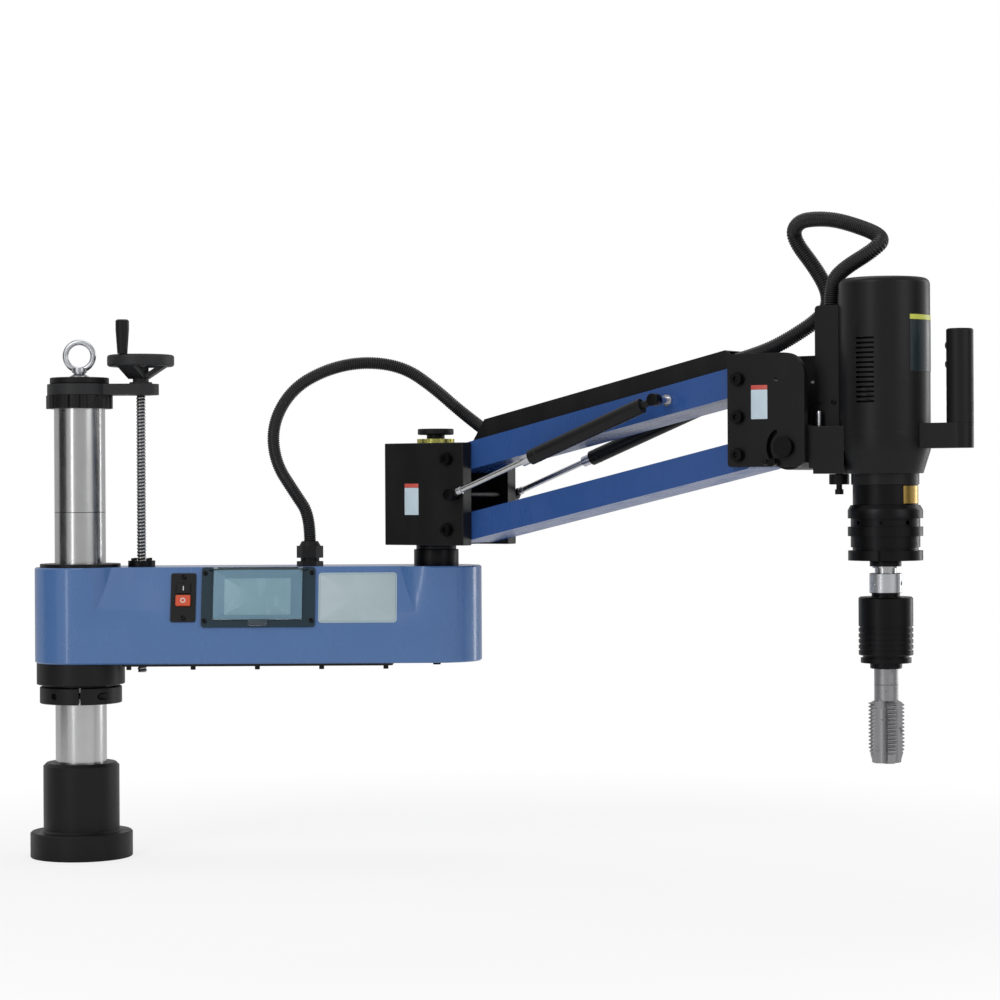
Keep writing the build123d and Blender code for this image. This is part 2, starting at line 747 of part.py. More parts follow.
def crank_grip():
    """The revolving grip on the handwheel, wider at its top."""
    low = RIM_LOW + WHEEL_RIM_HEIGHT + GAP
    top = RIM_LOW + WHEEL_RIM_HEIGHT + GRIP_HEIGHT
    body = turned(
        (0, low),
        (GRIP_FOOT_RADIUS, low),
        (GRIP_TOP_RADIUS, top - GRIP_WAIST * GRIP_HEIGHT),
        (GRIP_TOP_RADIUS, top - GRIP_EDGE),
        (GRIP_TOP_RADIUS - GRIP_EDGE, top),
        (0, top),
    )
    body -= rod(GRIP_AXLE + RUNNING, low - OVER, top - GRIP_AXLE_SHORT + GAP)
    return about(SCREW_X) * Rot(0, 0, GRIP_ANGLE) * about(GRIP_RING) * body


# ---- first arm


def thrust_bearing():
    """The bearing under the arm: a narrow race that meets the stop collar, and a wide ring."""
    bore = COLUMN_RADIUS + RUNNING
    return turned(
        (bore, COLLAR_TOP + GAP),
        (RACE_RADIUS, COLLAR_TOP + GAP),
        (RACE_RADIUS, BEARING_LOW),
        (BEARING_RADIUS - EDGE, BEARING_LOW),
        (BEARING_RADIUS, BEARING_LOW + EDGE),
        (BEARING_RADIUS, ARM_LOW),
        (bore, ARM_LOW),
    )


def panel_wedge():
    """What the sloping control panel takes off the arm, short of the two round ends."""
    depth = (ARM_TOP - PANEL_LOW) * tan(radians(PANEL_TILT))
    front = -ARM_RADIUS - OVER
    outline = Polyline(
        (0, -ARM_RADIUS, PANEL_LOW),
        (0, depth - ARM_RADIUS, ARM_TOP),
        (0, depth - ARM_RADIUS, ARM_TOP + OVER),
        (0, front, ARM_TOP + OVER),
        (0, front, PANEL_LOW),
        close=True,
    )
    wedge = extrude(make_face(outline), ARM_REACH, dir=(1, 0, 0))
    for x in (0, ARM_REACH):
        wedge -= rod(ARM_RADIUS, PANEL_LOW - OVER, ARM_TOP + 2 * OVER, x)
    return wedge


def arm_casting():
    """The hollow first arm between the column boss and the elbow boss."""
    outline = SlotCenterToCenter(ARM_REACH, 2 * ARM_RADIUS)
    body = Pos(ARM_REACH / 2, 0, ARM_LOW) * extrude(outline, ARM_TOP - ARM_LOW)
    body = chamfer(body.edges().filter_by(Plane.XY), ARM_EDGE)
    body -= panel_wedge()
    roof = ARM_TOP - CAVITY_ROOF
    body -= block(CAVITY_LEFT, CAVITY_RIGHT, CAVITY_FRONT, CAVITY_BACK, ARM_LOW - OVER, roof)
    body -= rod(COLUMN_RADIUS + BUSH_WALL + PRESS, ARM_LOW - OVER, ARM_TOP + OVER)
    body -= rod(SCREW_RADIUS + 2 * PASS, ARM_LOW - OVER, ARM_TOP + OVER, SCREW_X)
    body -= rod(NUT_BODY + PRESS, ARM_TOP - NUT_LENGTH, ARM_TOP + OVER, SCREW_X)
    body -= rod(SHAFT_RADIUS + PRESS, SHAFT_LOW, ARM_TOP + OVER, ARM_REACH)
    body -= rod(SHAFT_FOOT + PRESS, ARM_LOW - OVER, SHAFT_LOW, ARM_REACH)
    body -= rod(GLAND_THREAD + PRESS, ARM_TOP - GLAND_THREAD_LENGTH, ARM_TOP + OVER, GLAND_X)
    body -= PANEL * switch_box(SCREW_ROOM)
    body -= PANEL * bezel_back(SCREW_ROOM)
    for place in arm_screw_places():
        body -= place[0] * screw_hole(place[1], place[2])
    return body


def arm_screw_places():
    """Place, size and length of each screw in the first arm."""
    places = []
    for i in range(COVER_SCREW_COUNT):
        x = COVER_SCREW_FIRST + i * COVER_SCREW_PITCH
        for y in (-COVER_SCREW_ROW, COVER_SCREW_ROW):
            seat = Pos(x, y, ARM_LOW - COVER_THICK) * Rot(180, 0, 0)
            places.append((seat, COVER_SCREW, COVER_SCREW_LENGTH))
    for turn in around(NUT_SCREWS, NUT_SCREW_TURN):
        seat = about(SCREW_X) * turn * Pos(NUT_SCREW_RING, 0, ARM_TOP + NUT_FLANGE_THICK)
        places.append((seat, NUT_SCREW, NUT_SCREW_LENGTH))
    for y in SWITCH_SCREW_Y:
        place = PANEL * Pos(SWITCH_X, y, SWITCH_THICK)
        places.append((place, PANEL_SCREW, SWITCH_SCREW_LENGTH))
    for x in (BEZEL_LEFT + BEZEL_SCREW_INSET, BEZEL_RIGHT - BEZEL_SCREW_INSET):
        place = PANEL * Pos(x, BEZEL_SCREW_Y, BEZEL_THICK)
        places.append((place, PANEL_SCREW, BEZEL_SCREW_LENGTH))
    return places


def arm_screws():
    """The socket screws of the cover plate, the lift nut, the switch plate and the bezel."""
    return [seat * cap_screw(size, length) for seat, size, length in arm_screw_places()]


def column_bushes():
    """The two bushes in the arm's column boss."""
    outer = COLUMN_RADIUS + BUSH_WALL
    inner = COLUMN_RADIUS + RUNNING
    low = ring(outer, inner, ARM_LOW, ARM_LOW + BUSH_LENGTH)
    return [low, ring(outer, inner, ARM_TOP - BUSH_LENGTH, ARM_TOP)]


def wiper_ring():
    return ring(WIPER_RADIUS, COLUMN_RADIUS + RUNNING, ARM_TOP, ARM_TOP + WIPER_THICK)


def lift_nut():
    """The flanged nut that the lead screw turns in."""
    flange = rod(NUT_FLANGE, ARM_TOP, ARM_TOP + NUT_FLANGE_THICK, SCREW_X)
    body = flange + rod(NUT_BODY, ARM_TOP - NUT_LENGTH, ARM_TOP, SCREW_X)
    body -= rod(SCREW_RADIUS + RUNNING, ARM_LOW, ARM_TOP + 2 * NUT_FLANGE_THICK, SCREW_X)
    for seat, size, length in arm_screw_places():
        if length == NUT_SCREW_LENGTH:
            body -= seat * screw_hole(size, length)
    return body


def arm_cover_plate():
    """The plate that closes the arm from below."""
    low = ARM_LOW - COVER_THICK
    body = block(COVER_LEFT, COVER_RIGHT, -COVER_HALF, COVER_HALF, low, ARM_LOW)
    body = fillet(body.edges().filter_by(Axis.Z), COVER_CORNER)
    body -= rod(SCREW_RADIUS + 2 * PASS, low - OVER, ARM_LOW + OVER, SCREW_X)
    for seat, size, length in arm_screw_places()[: 2 * COVER_SCREW_COUNT]:
        body -= seat * screw_hole(size, length)
    return body


def servo_drive():
    """The motor's drive unit, which stands on the cover plate inside the arm."""
    left, right, front, back, height = DRIVE_BOX
    body = block(left, right, front, back, ARM_LOW, ARM_LOW + height)
    return chamfer(body.edges().filter_by(Axis.Z), DRIVE_EDGE)


def switch_box(room=0):
    """The box behind the switch plate, or its hole in the arm."""
    width, height, depth = SWITCH_BOX
    half = width / 2 + room
    low = SWITCH_BOX_Y - height / 2 - room
    return block(SWITCH_X - half, SWITCH_X + half, low, low + height + 2 * room, -depth - room, room)


def button(y, proud, room=0):
    """A push button's block, with its front edges rounded, or its hole."""
    half = BUTTON_WIDTH / 2 + room
    tall = BUTTON_HEIGHT / 2 + room
    body = block(SWITCH_X - half, SWITCH_X + half, y - tall, y + tall, -BUTTON_DEPTH, proud)
    return fillet(body.edges().filter_by(Axis.Z), BUTTON_CORNER)


def switch_plate():
    """The plate and box that the two push buttons slide in."""
    left = SWITCH_X - SWITCH_WIDTH / 2
    low = SWITCH_Y - SWITCH_HEIGHT / 2
    plate = block(left, left + SWITCH_WIDTH, low, low + SWITCH_HEIGHT, 0, SWITCH_THICK)
    plate = fillet(plate.edges().filter_by(Axis.Z), SWITCH_CORNER)
    body = plate + switch_box()
    body -= button(START_Y, 2 * SWITCH_THICK, GAP) + button(STOP_Y, 2 * SWITCH_THICK, GAP)
    floor = Pos(0, 0, -BUTTON_TRAVEL - GAP)
    body -= floor * (button(START_Y, 0, GAP) + button(STOP_Y, 0, GAP))
    for y in SWITCH_SCREW_Y:
        body -= Pos(SWITCH_X, y, SWITCH_THICK) * screw_hole(PANEL_SCREW, SWITCH_SCREW_LENGTH)
    return PANEL * body


def start_button():
    body = button(START_Y, START_PROUD)
    return PANEL * chamfer(body.faces().sort_by(Axis.Z)[-1].edges(), FINE_EDGE)


def stop_button():
    body = button(STOP_Y, STOP_PROUD)
    return PANEL * chamfer(body.faces().sort_by(Axis.Z)[-1].edges(), FINE_EDGE)


def bezel_back(room=0):
    """The display's housing behind the bezel, or its hole in the arm."""
    width, height, depth = BEZEL_BACK
    x = (BEZEL_LEFT + BEZEL_RIGHT) / 2
    y = (DISPLAY_LOW + DISPLAY_HIGH) / 2
    half = width / 2 + room
    return block(x - half, x + half, y - height / 2 - room, y + height / 2 + room, -depth - room, room)


def flap_end(side):
    """The outer end of the flap's barrel on one side, as an X value."""
    return FLAP_LEFT if side < 0 else FLAP_RIGHT


def lying(radius, left, right, y, z):
    """A round bar along X."""
    return Pos((left + right) / 2, y, z) * Rot(0, 90, 0) * Cylinder(radius, right - left)


def display_bezel():
    """The display's frame, its housing, and the two lugs that carry the flap's pins."""
    body = block(BEZEL_LEFT, BEZEL_RIGHT, BEZEL_LOW, BEZEL_HIGH, 0, BEZEL_THICK)
    body = fillet(body.edges().filter_by(Axis.Z), BEZEL_CORNER)
    body += bezel_back()
    floor = BEZEL_THICK - DISPLAY_RECESS
    top = BEZEL_THICK + OVER
    body -= block(DISPLAY_LEFT, DISPLAY_RIGHT, DISPLAY_LOW, DISPLAY_HIGH, floor, top)
    for side in (-1, 1):
        end = flap_end(side)
        near = end + side * GAP
        far = near + side * FLAP_LUG
        left, right = min(near, far), max(near, far)
        lug = lying(FLAP_BARREL, left, right, FLAP_HINGE_Y, FLAP_HINGE_Z)
        lug += block(
            left, right, FLAP_HINGE_Y - FLAP_BARREL, FLAP_HINGE_Y + FLAP_BARREL, 0, FLAP_HINGE_Z
        )
        tip = end - side * FLAP_LUG
        lug += lying(FLAP_PIN, min(tip, far), max(tip, far), FLAP_HINGE_Y, FLAP_HINGE_Z)
        body += lug
    for x in (BEZEL_LEFT + BEZEL_SCREW_INSET, BEZEL_RIGHT - BEZEL_SCREW_INSET):
        body -= Pos(x, BEZEL_SCREW_Y, BEZEL_THICK) * screw_hole(PANEL_SCREW, BEZEL_SCREW_LENGTH)
    return PANEL * body


def display_cover():
    """The clear flap over the display, hung from its top edge, with a tab to lift it by."""
    low = FLAP_HINGE_Z - FLAP_THICK / 2
    high = FLAP_HINGE_Z + FLAP_THICK / 2
    pane = block(FLAP_LEFT, FLAP_RIGHT, FLAP_LOW, FLAP_HINGE_Y, low, high)
    tab = block(FLAP_TAB_LEFT, FLAP_TAB_RIGHT, FLAP_TAB_LOW, FLAP_LOW + OVER, low, high)
    tab = fillet(tab.edges().filter_by(Axis.Z).group_by(Axis.Y)[0], FLAP_TAB_CORNER)
    body = pane + tab + lying(FLAP_BARREL, FLAP_LEFT, FLAP_RIGHT, FLAP_HINGE_Y, FLAP_HINGE_Z)
    bore = FLAP_LUG + GAP
    for end, inner in ((FLAP_LEFT - OVER, FLAP_LEFT + bore), (FLAP_RIGHT - bore, FLAP_RIGHT + OVER)):
        body -= lying(FLAP_PIN + RUNNING, end, inner, FLAP_HINGE_Y, FLAP_HINGE_Z)
    return PANEL * body


def cable_gland():
    """Hexagonal base, neck and cap nut, with the bore that the hose's wires go through."""
    base = extrude(RegularPolygon(GLAND_HEX, 6), GLAND_BASE)
    cap = extrude(RegularPolygon(GLAND_HEX, 6), GLAND_CAP_TOP - GLAND_NECK_TOP)
    body = base + Pos(0, 0, GLAND_NECK_TOP) * cap + rod(GLAND_NECK, GLAND_BASE, GLAND_NECK_TOP)
    cone = Cone(GLAND_CONE * GLAND_HEX, HOSE_ARM_RADIUS + GLAND_LIP, GLAND_TOP - GLAND_CAP_TOP)
    body += Pos(0, 0, (GLAND_CAP_TOP + GLAND_TOP) / 2) * cone
    body += rod(GLAND_THREAD, -GLAND_THREAD_LENGTH, 0)
    body -= rod(HOSE_ARM_BORE, -GLAND_THREAD_LENGTH - OVER, GLAND_TOP + OVER)
    return Pos(GLAND_X, 0, ARM_TOP) * body


# ---- elbow


def pivot_shaft():
    """The upright shaft that the second arm swings on, threaded at its top for the knob."""
    body = turned(
        (0, SHAFT_FOOT_LOW),
        (SHAFT_FOOT, SHAFT_FOOT_LOW),
        (SHAFT_FOOT, SHAFT_LOW),
        (SHAFT_RADIUS, SHAFT_LOW),
        (SHAFT_RADIUS, SPACER_TOP),
        (SPIGOT_RADIUS, SPACER_TOP),
        (SPIGOT_RADIUS, BLOCK_TOP + BEARING_CAP_THICK),
        (SHAFT_THREAD, BLOCK_TOP + BEARING_CAP_THICK),
        (SHAFT_THREAD, KNOB_LOW + KNOB_NECK_HEIGHT + KNOB_THICK / 2),
        (0, KNOB_LOW + KNOB_NECK_HEIGHT + KNOB_THICK / 2),
    )
    return about(ARM_REACH) * body


def pivot_rings():
    """The spacer collar on the arm and the bright thrust washer on the shaft's shoulder."""
    spacer = ring(SPACER_RADIUS, SHAFT_RADIUS + PRESS, ARM_TOP, SPACER_TOP, ARM_REACH)
    washer = ring(WASHER_RADIUS, SPIGOT_RADIUS + PRESS, SPACER_TOP, WASHER_TOP, ARM_REACH)
    return [spacer, washer]


def elbow_block():
    """The swinging block: a solid back on two bearings and two cheeks for the links."""
    body = block(BLOCK_BACK, BLOCK_FRONT, -BLOCK_HALF, BLOCK_HALF, BLOCK_LOW, BLOCK_TOP)
    body = chamfer(body.edges(), EDGE)
    half = LINK_WIDTH / 2 + 2 * GAP
    body -= block(SLOT_BACK, BLOCK_FRONT + OVER, -half, half, BLOCK_LOW - OVER, BLOCK_TOP + OVER)
    body -= rod(SPIGOT_RADIUS + PASS, BLOCK_LOW - OVER, BLOCK_TOP + OVER)
    body -= rod(BLOCK_SEAT, BLOCK_LOW - OVER, BLOCK_LOW + BLOCK_SEAT_DEPTH)
    body -= rod(BLOCK_SEAT, BLOCK_TOP - BLOCK_SEAT_DEPTH, BLOCK_TOP + OVER)
    for z in (UPPER_PIN_Z, LOWER_PIN_Z):
        body -= bar(PIN_RADIUS + PRESS, -BLOCK_HALF - OVER, BLOCK_HALF + OVER, PIN_X, z)
    body -= bar(STUD_RADIUS + PRESS, -BLOCK_HALF - OVER, BLOCK_HALF + OVER, LOWER_BALL_X, LOWER_BALL_Z)
    return SECOND_ARM * body


def pivot_bearings():
    """The two bearings in the block, running on the shaft."""
    outer = BLOCK_SEAT - PRESS
    inner = SPIGOT_RADIUS + RUNNING
    low = ring(outer, inner, BLOCK_LOW, BLOCK_LOW + BLOCK_SEAT_DEPTH)
    high = ring(outer, inner, BLOCK_TOP - BLOCK_SEAT_DEPTH, BLOCK_TOP)
    return [SECOND_ARM * low, SECOND_ARM * high]


def bearing_cap():
    """The toothed ring over the upper bearing."""
    top = BLOCK_TOP + BEARING_CAP_THICK
    body = ring(BEARING_CAP_RADIUS, SPIGOT_RADIUS + PASS, BLOCK_TOP, top)
    for turn in around(BEARING_CAP_TEETH):
        body -= turn * rod(BEARING_CAP_TOOTH, BLOCK_TOP + BEARING_CAP_FOOT, top + OVER, BEARING_CAP_RADIUS)
    return SECOND_ARM * body


def lock_knob():
    """The round knob that clamps the elbow."""
    top = KNOB_LOW + KNOB_NECK_HEIGHT + KNOB_THICK
    disc = rod(KNOB_RADIUS, KNOB_LOW + KNOB_NECK_HEIGHT, top)
    disc = fillet(disc.edges().filter_by(GeomType.CIRCLE), KNOB_EDGE)
    body = disc + rod(KNOB_NECK, KNOB_LOW, KNOB_LOW + KNOB_NECK_HEIGHT + OVER)
    body -= rod(SHAFT_THREAD + RUNNING, KNOB_LOW - OVER, top - KNOB_THICK / 2 + GAP)
    return about(ARM_REACH) * body


def link_pin(x, z, half):
    """A pin along Y with a socket head and washer in front and a nut behind."""
    head = -half - PIN_WASHER_THICK
    body = bar(PIN_RADIUS, -half, half, x, z)
    body += bar(PIN_WASHER, head, -half, x, z)
    body += bar(PIN_HEAD, head - PIN_HEAD_THICK, head, x, z)
    socket = Pos(x, head - PIN_HEAD_THICK / 2, z) * Rot(90, 0, 0)
    body -= socket * extrude(RegularPolygon(PIN_HEAD / 2, 6), PIN_HEAD_THICK)
    nut = Pos(x, half + PIN_HEAD_THICK, z) * Rot(90, 0, 0)
    return body + nut * extrude(RegularPolygon(PIN_WASHER, 6), PIN_HEAD_THICK)


def ball_end(side, x, start):
    """Collar, neck and ball that stand on a face at start, on one side."""
    faces = sorted((side * start, side * (start + STUD_COLLAR_THICK)))
    neck = sorted((side * start, side * BALL_SIDE))
    body = bar(STUD_COLLAR, *faces, x, 0) + bar(BALL_NECK, *neck, x, 0)
    return body + Pos(x, side * BALL_SIDE, 0) * Sphere(BALL_RADIUS)


def elbow_pins():
    """The links' two pins in the block, and the bar that carries the springs' lower balls."""
    pins = [link_pin(PIN_X, z, BLOCK_HALF) for z in (UPPER_PIN_Z, LOWER_PIN_Z)]
    stud = bar(STUD_RADIUS, -BLOCK_HALF, BLOCK_HALF, 0, 0)
    for side in SPRING_SIDES:
        stud += ball_end(side, 0, BLOCK_HALF)
    pins.append(Pos(LOWER_BALL_X, 0, LOWER_BALL_Z) * stud)
    return [SECOND_ARM * pin for pin in pins]


# ---- links and gas springs


def link_bar():
    """A hollow link between two pins, in its own frame: x along it, from the elbow's pin."""
    half = LINK_WIDTH / 2
    tall = LINK_HEIGHT / 2 - LINK_WALL
    outline = Pos(LINK_LENGTH / 2, 0) * SlotCenterToCenter(LINK_LENGTH, LINK_HEIGHT)
    body = slab(outline, -half, half)
    inner = half - LINK_WALL
    body -= block(-LINK_HEIGHT, LINK_LENGTH + LINK_HEIGHT, -inner, inner, -tall, tall)
    for x in (0, LINK_LENGTH):
        body += bar(LINK_BOSS, -half + OVER, half - OVER, x, 0)
        body -= bar(PIN_RADIUS + RUNNING, -half - OVER, half + OVER, x, 0)
    return body


def upper_link():
    body = link_bar()
    body -= bar(STUD_RADIUS + PRESS, -LINK_WIDTH, LINK_WIDTH, UPPER_BALL_ALONG, 0)
    return SECOND_ARM * UPPER_LINK * body


def lower_link():
    return SECOND_ARM * LOWER_LINK * link_bar()


def upper_ball_studs():
    """The bar through the upper link that carries the springs' upper balls."""
    half = LINK_WIDTH / 2
    stud = bar(STUD_RADIUS, -half, half, 0, 0)
    for side in SPRING_SIDES:
        stud += ball_end(side, 0, half)
        reach = sorted((side * half, side * (BALL_SIDE - 2 * BALL_RADIUS)))
        stud += bar(STUD_RADIUS, *reach, 0, 0)
    return SECOND_ARM * UPPER_LINK * Pos(UPPER_BALL_ALONG, 0, 0) * stud


def ball_socket(x, side):
    """The socket that turns on a ball, open towards the arm."""
    near, far = sorted((side * (BALL_SIDE - SOCKET_HALF), side * (BALL_SIDE + SOCKET_HALF)))
    body = bar(SOCKET_RADIUS, near, far, x, 0)
    body -= Pos(x, side * BALL_SIDE, 0) * Sphere(BALL_RADIUS + RUNNING)
    mouth = sorted((side * (BALL_SIDE - 2 * SOCKET_HALF), side * BALL_SIDE))
    return body - bar(BALL_NECK + PASS, *mouth, x, 0)


def along(radius, start, end, side):
    """A round bar along a gas spring's axis."""
    return Pos((start + end) / 2, side * BALL_SIDE, 0) * Rot(0, 90, 0) * Cylinder(radius, end - start)


def spring_rods():
    """The gas springs' rods: each turns on a ball of the elbow and ends in its piston."""
    rods = []
    for side in SPRING_SIDES:
        body = ball_socket(0, side)
        body += along(ROD_RADIUS, SOCKET_RADIUS - OVER, ROD_LENGTH, side)
        body += along(PISTON_RADIUS, ROD_LENGTH - PISTON_LENGTH, ROD_LENGTH, side)
        rods.append(SECOND_ARM * SPRING * body)
    return rods


def spring_cylinders():
    """The gas springs' cylinders: each hangs from a ball of the upper link."""
    cylinders = []
    nose = CYLINDER_START - NOSE_LENGTH
    for side in SPRING_SIDES:
        body = along(CYLINDER_RADIUS, CYLINDER_START, CYLINDER_END, side)
        body = fillet(body.edges().filter_by(GeomType.CIRCLE), CYLINDER_EDGE)
        body += along(NOSE_RADIUS, nose, CYLINDER_START + OVER, side)
        body -= along(CYLINDER_BORE, CYLINDER_START + CYLINDER_HEAD, CYLINDER_END - CYLINDER_HEAD, side)
        body -= along(NOSE_BORE, nose - OVER, CYLINDER_START + CYLINDER_HEAD + OVER, side)
        body += along(STUD_RADIUS, CYLINDER_END - OVER, SPRING_LENGTH - SOCKET_RADIUS + OVER, side)
        cylinders.append(SECOND_ARM * SPRING * (body + ball_socket(SPRING_LENGTH, side)))
    return cylinders


def link_cover():
    """The channel that carries the hoses' wires along the upper link."""
    low = LINK_HEIGHT / 2
    top = low + COVER_HEIGHT
    inner = top - COVER_WALL
    plate = COVER_WALL * sqrt(2)
    outer = Polyline(
        (COVER_START, low), (COVER_START + COVER_HEIGHT, top), (COVER_END - COVER_HEIGHT, top),
        (COVER_END, low), close=True,
    )
    hollow = Polyline(
        (COVER_START + plate, low),
        (COVER_START + plate + inner - low, inner),
        (COVER_END + COVER_HEIGHT, inner),
        (COVER_END + COVER_HEIGHT, low - OVER),
        (COVER_START + plate, low - OVER),
        close=True,
    )
    side = COVER_SIDE - COVER_WALL
    body = slab(make_face(outer), -COVER_SIDE, COVER_SIDE) - slab(make_face(hollow), -side, side)
    body += block(COVER_BULKHEAD, COVER_BULKHEAD + COVER_WALL, -side, side, low, inner)
    middle = low + COVER_HEIGHT / 2
    across = Pos(COVER_BULKHEAD, 0, middle) * Rot(0, 90, 0)
    body -= across * Cylinder(HOSE_HEAD_BORE, COVER_HOLE * COVER_WALL)
    mouth = Pos(COVER_START + COVER_HEIGHT / 2, 0, middle) * Rot(0, COVER_SLOPE, 0)
    body -= mouth * Cylinder(HOSE_ARM_BORE, COVER_HOLE * COVER_WALL)
    return SECOND_ARM * UPPER_LINK * body


# ---- yoke


def yoke_outline():
    """The yoke plate's outline with its four corner radii."""
    corners = [
        (YOKE_LEFT, YOKE_LOW, YOKE_SMALL_RADIUS),
        (YOKE_RIGHT, YOKE_LOW, YOKE_LOW_RADIUS),
        (YOKE_RIGHT, YOKE_TOP, YOKE_TOP_RADIUS),
        (YOKE_LEFT, YOKE_TOP, YOKE_SMALL_RADIUS),
    ]
    points = [(x, z) for x, z, radius in corners]
    path = FilletPolyline(*points, radius=[r for x, z, r in corners], close=True)
    return make_face(path)


def yoke_plates():
    """The two plates that keep the head level between the links."""
    holes = [
        Pos(YOKE_PIN_X, YOKE_UPPER_Z) * Circle(PIN_RADIUS + PRESS),
        Pos(YOKE_PIN_X, YOKE_LOWER_Z) * Circle(PIN_RADIUS + PRESS),
        Pos(YOKE_PIN_X, (YOKE_UPPER_Z + YOKE_LOWER_Z) / 2) * Circle(PIN_RADIUS + PRESS),
        Pos(TILT_X, TILT_Z) * Circle(PIN_RADIUS + PRESS),
        Pos(*YOKE_SMALL_HOLE[:2]) * Circle(YOKE_SMALL_HOLE[2]),
        Pos(TILT_X, TILT_Z) * SlotArc(
            CenterArc((0, 0), TILT_SLOT_RING, TILT_SLOT_START, TILT_SLOT_END - TILT_SLOT_START),
            TILT_SLOT_WIDTH,
        ),
    ]
    plates = []
    for near in (-YOKE_INNER - YOKE_PLATE, YOKE_INNER):
        body = slab(yoke_outline(), near, near + YOKE_PLATE)
        for hole in holes:
            body -= slab(hole, near - OVER, near + YOKE_PLATE + OVER)
        plates.append(YOKE * body)
    return plates


def yoke_pins():
    """The links' pins, the spacer bolt between the plates, and the tilt pin."""
    half = YOKE_INNER + YOKE_PLATE
    middle = (YOKE_UPPER_Z + YOKE_LOWER_Z) / 2
    pins = [link_pin(YOKE_PIN_X, z, half) for z in (YOKE_UPPER_Z, YOKE_LOWER_Z)]
    spacer = bar(SPACER_BAR, -YOKE_INNER, YOKE_INNER, YOKE_PIN_X, middle)
    pins.append(link_pin(YOKE_PIN_X, middle, half) + spacer)
    tilt = bar(PIN_RADIUS, -half, half + TILT_HEAD_THICK, TILT_X, TILT_Z)
    tilt += bar(TILT_HEAD, -half - TILT_HEAD_THICK, -half, TILT_X, TILT_Z)
    tilt += bar(PIN_WASHER, half, half + TILT_HEAD_THICK, TILT_X, TILT_Z)
    return [YOKE * pin for pin in pins + [tilt]]


def lock_place():
    """Where the tilt lock's screw goes through the curved slot: x and z."""
    turn = radians(TILT_LOCK_ANGLE)
    return TILT_X + TILT_SLOT_RING * cos(turn), TILT_Z + TILT_SLOT_RING * sin(turn)


def tilt_lock_lever():
    """The lever whose screw clamps the head's tongue to the near yoke plate."""
    x, z = lock_place()
    face = -YOKE_INNER - YOKE_PLATE - GAP
    hub_end = face - LEVER_HUB_LENGTH
    middle = (face + hub_end) / 2
    body = bar(LEVER_HUB, hub_end, face, x, z)
    body += bar(LEVER_SCREW, face, LEVER_SCREW_LENGTH - TONGUE_HALF, x, z)
    reach = LEVER_ARM + LEVER_BALL * 2
    handle = Pos(x - LEVER_ARM / 4, middle, z) * Rot(0, 90, 0)
    body += handle * Cylinder(LEVER_BALL / 2, reach)
    body += Pos(x - LEVER_ARM, middle, z) * Rot(0, 0, 90) * Sphere(LEVER_BALL)
    return YOKE * body


# ---- head


def head_bracket():
    """The tongue between the yoke plates and the block that carries the motor head."""
    tongue = bar(TONGUE_RADIUS, -TONGUE_HALF, TONGUE_HALF, TILT_X, TILT_Z)
    low = TILT_Z - TONGUE_SHARE * TONGUE_RADIUS
    high = TILT_Z + TONGUE_SHARE * TONGUE_RADIUS
    tongue += block(TILT_X, HEAD_BLOCK_LEFT + OVER, -TONGUE_HALF, TONGUE_HALF, low, high)
    solid = block(
        HEAD_BLOCK_LEFT, HEAD_X, -TONGUE_HALF, TONGUE_HALF, HEAD_BLOCK_STEP_LOW, HEAD_BLOCK_TOP
    )
    solid += block(
        HEAD_BLOCK_STEP, HEAD_X, -TONGUE_HALF, TONGUE_HALF, HEAD_BLOCK_LOW, HEAD_BLOCK_STEP_LOW
    )
    body = tongue + solid - rod(CASE_RADIUS + PRESS, HEAD_BLOCK_LOW - OVER, HEAD_BLOCK_TOP + OVER, HEAD_X)
    body -= bar(PIN_RADIUS + RUNNING, -BLOCK_HALF, BLOCK_HALF, TILT_X, TILT_Z)
    x, z = lock_place()
    lock_end = LEVER_SCREW_LENGTH - TONGUE_HALF + GAP
    body -= bar(LEVER_SCREW + RUNNING, -TONGUE_HALF - OVER, lock_end, x, z)
    top = HEAD_BLOCK_LOW + PLUNGER_BORE_DEPTH
    body -= rod(PLUNGER_PIN + RUNNING, HEAD_BLOCK_LOW - OVER, top, PLUNGER_X)
    return YOKE * body


def index_plunger():
    """The pull knob under the head's block."""
    top = HEAD_BLOCK_LOW - GAP
    low = top - PLUNGER_KNOB_HEIGHT
    body = rod(PLUNGER_KNOB, low, top, PLUNGER_X)
    body = chamfer(body.edges().filter_by(GeomType.CIRCLE), EDGE)
    body += rod(PLUNGER_STEM, low - PLUNGER_STEM_HEIGHT, low, PLUNGER_X)
    stem = low - PLUNGER_STEM_HEIGHT
    body += rod(PLUNGER_CAP, stem - PLUNGER_CAP_HEIGHT, stem, PLUNGER_X)
    return YOKE * (body + rod(PLUNGER_PIN, top, top + PLUNGER_PIN_LENGTH, PLUNGER_X))


def gear_case():
    """The gearbox shell: band, cone and bottom flange, with its roof under the motor."""
    roof = CASE_TOP - CASE_ROOF
    floor = HEAD_BLOCK_LOW + CASE_FLOOR
    body = turned(
        (SPINDLE_COLLAR, FLANGE_LOW),
        (FLANGE_RADIUS, FLANGE_LOW),
        (FLANGE_RADIUS, HEAD_BLOCK_LOW),
        (CASE_CONE_RADIUS, HEAD_BLOCK_LOW),
        (CASE_RADIUS, CASE_BAND_LOW),
        (CASE_RADIUS, CASE_TOP),
        (PINION_RADIUS + PASS, CASE_TOP),
        (PINION_RADIUS + PASS, roof),
        (CASE_CAVITY, roof),
        (CASE_CAVITY, floor),
        (SPINDLE_COLLAR, floor),
    )
    return YOKE * about(HEAD_X) * body


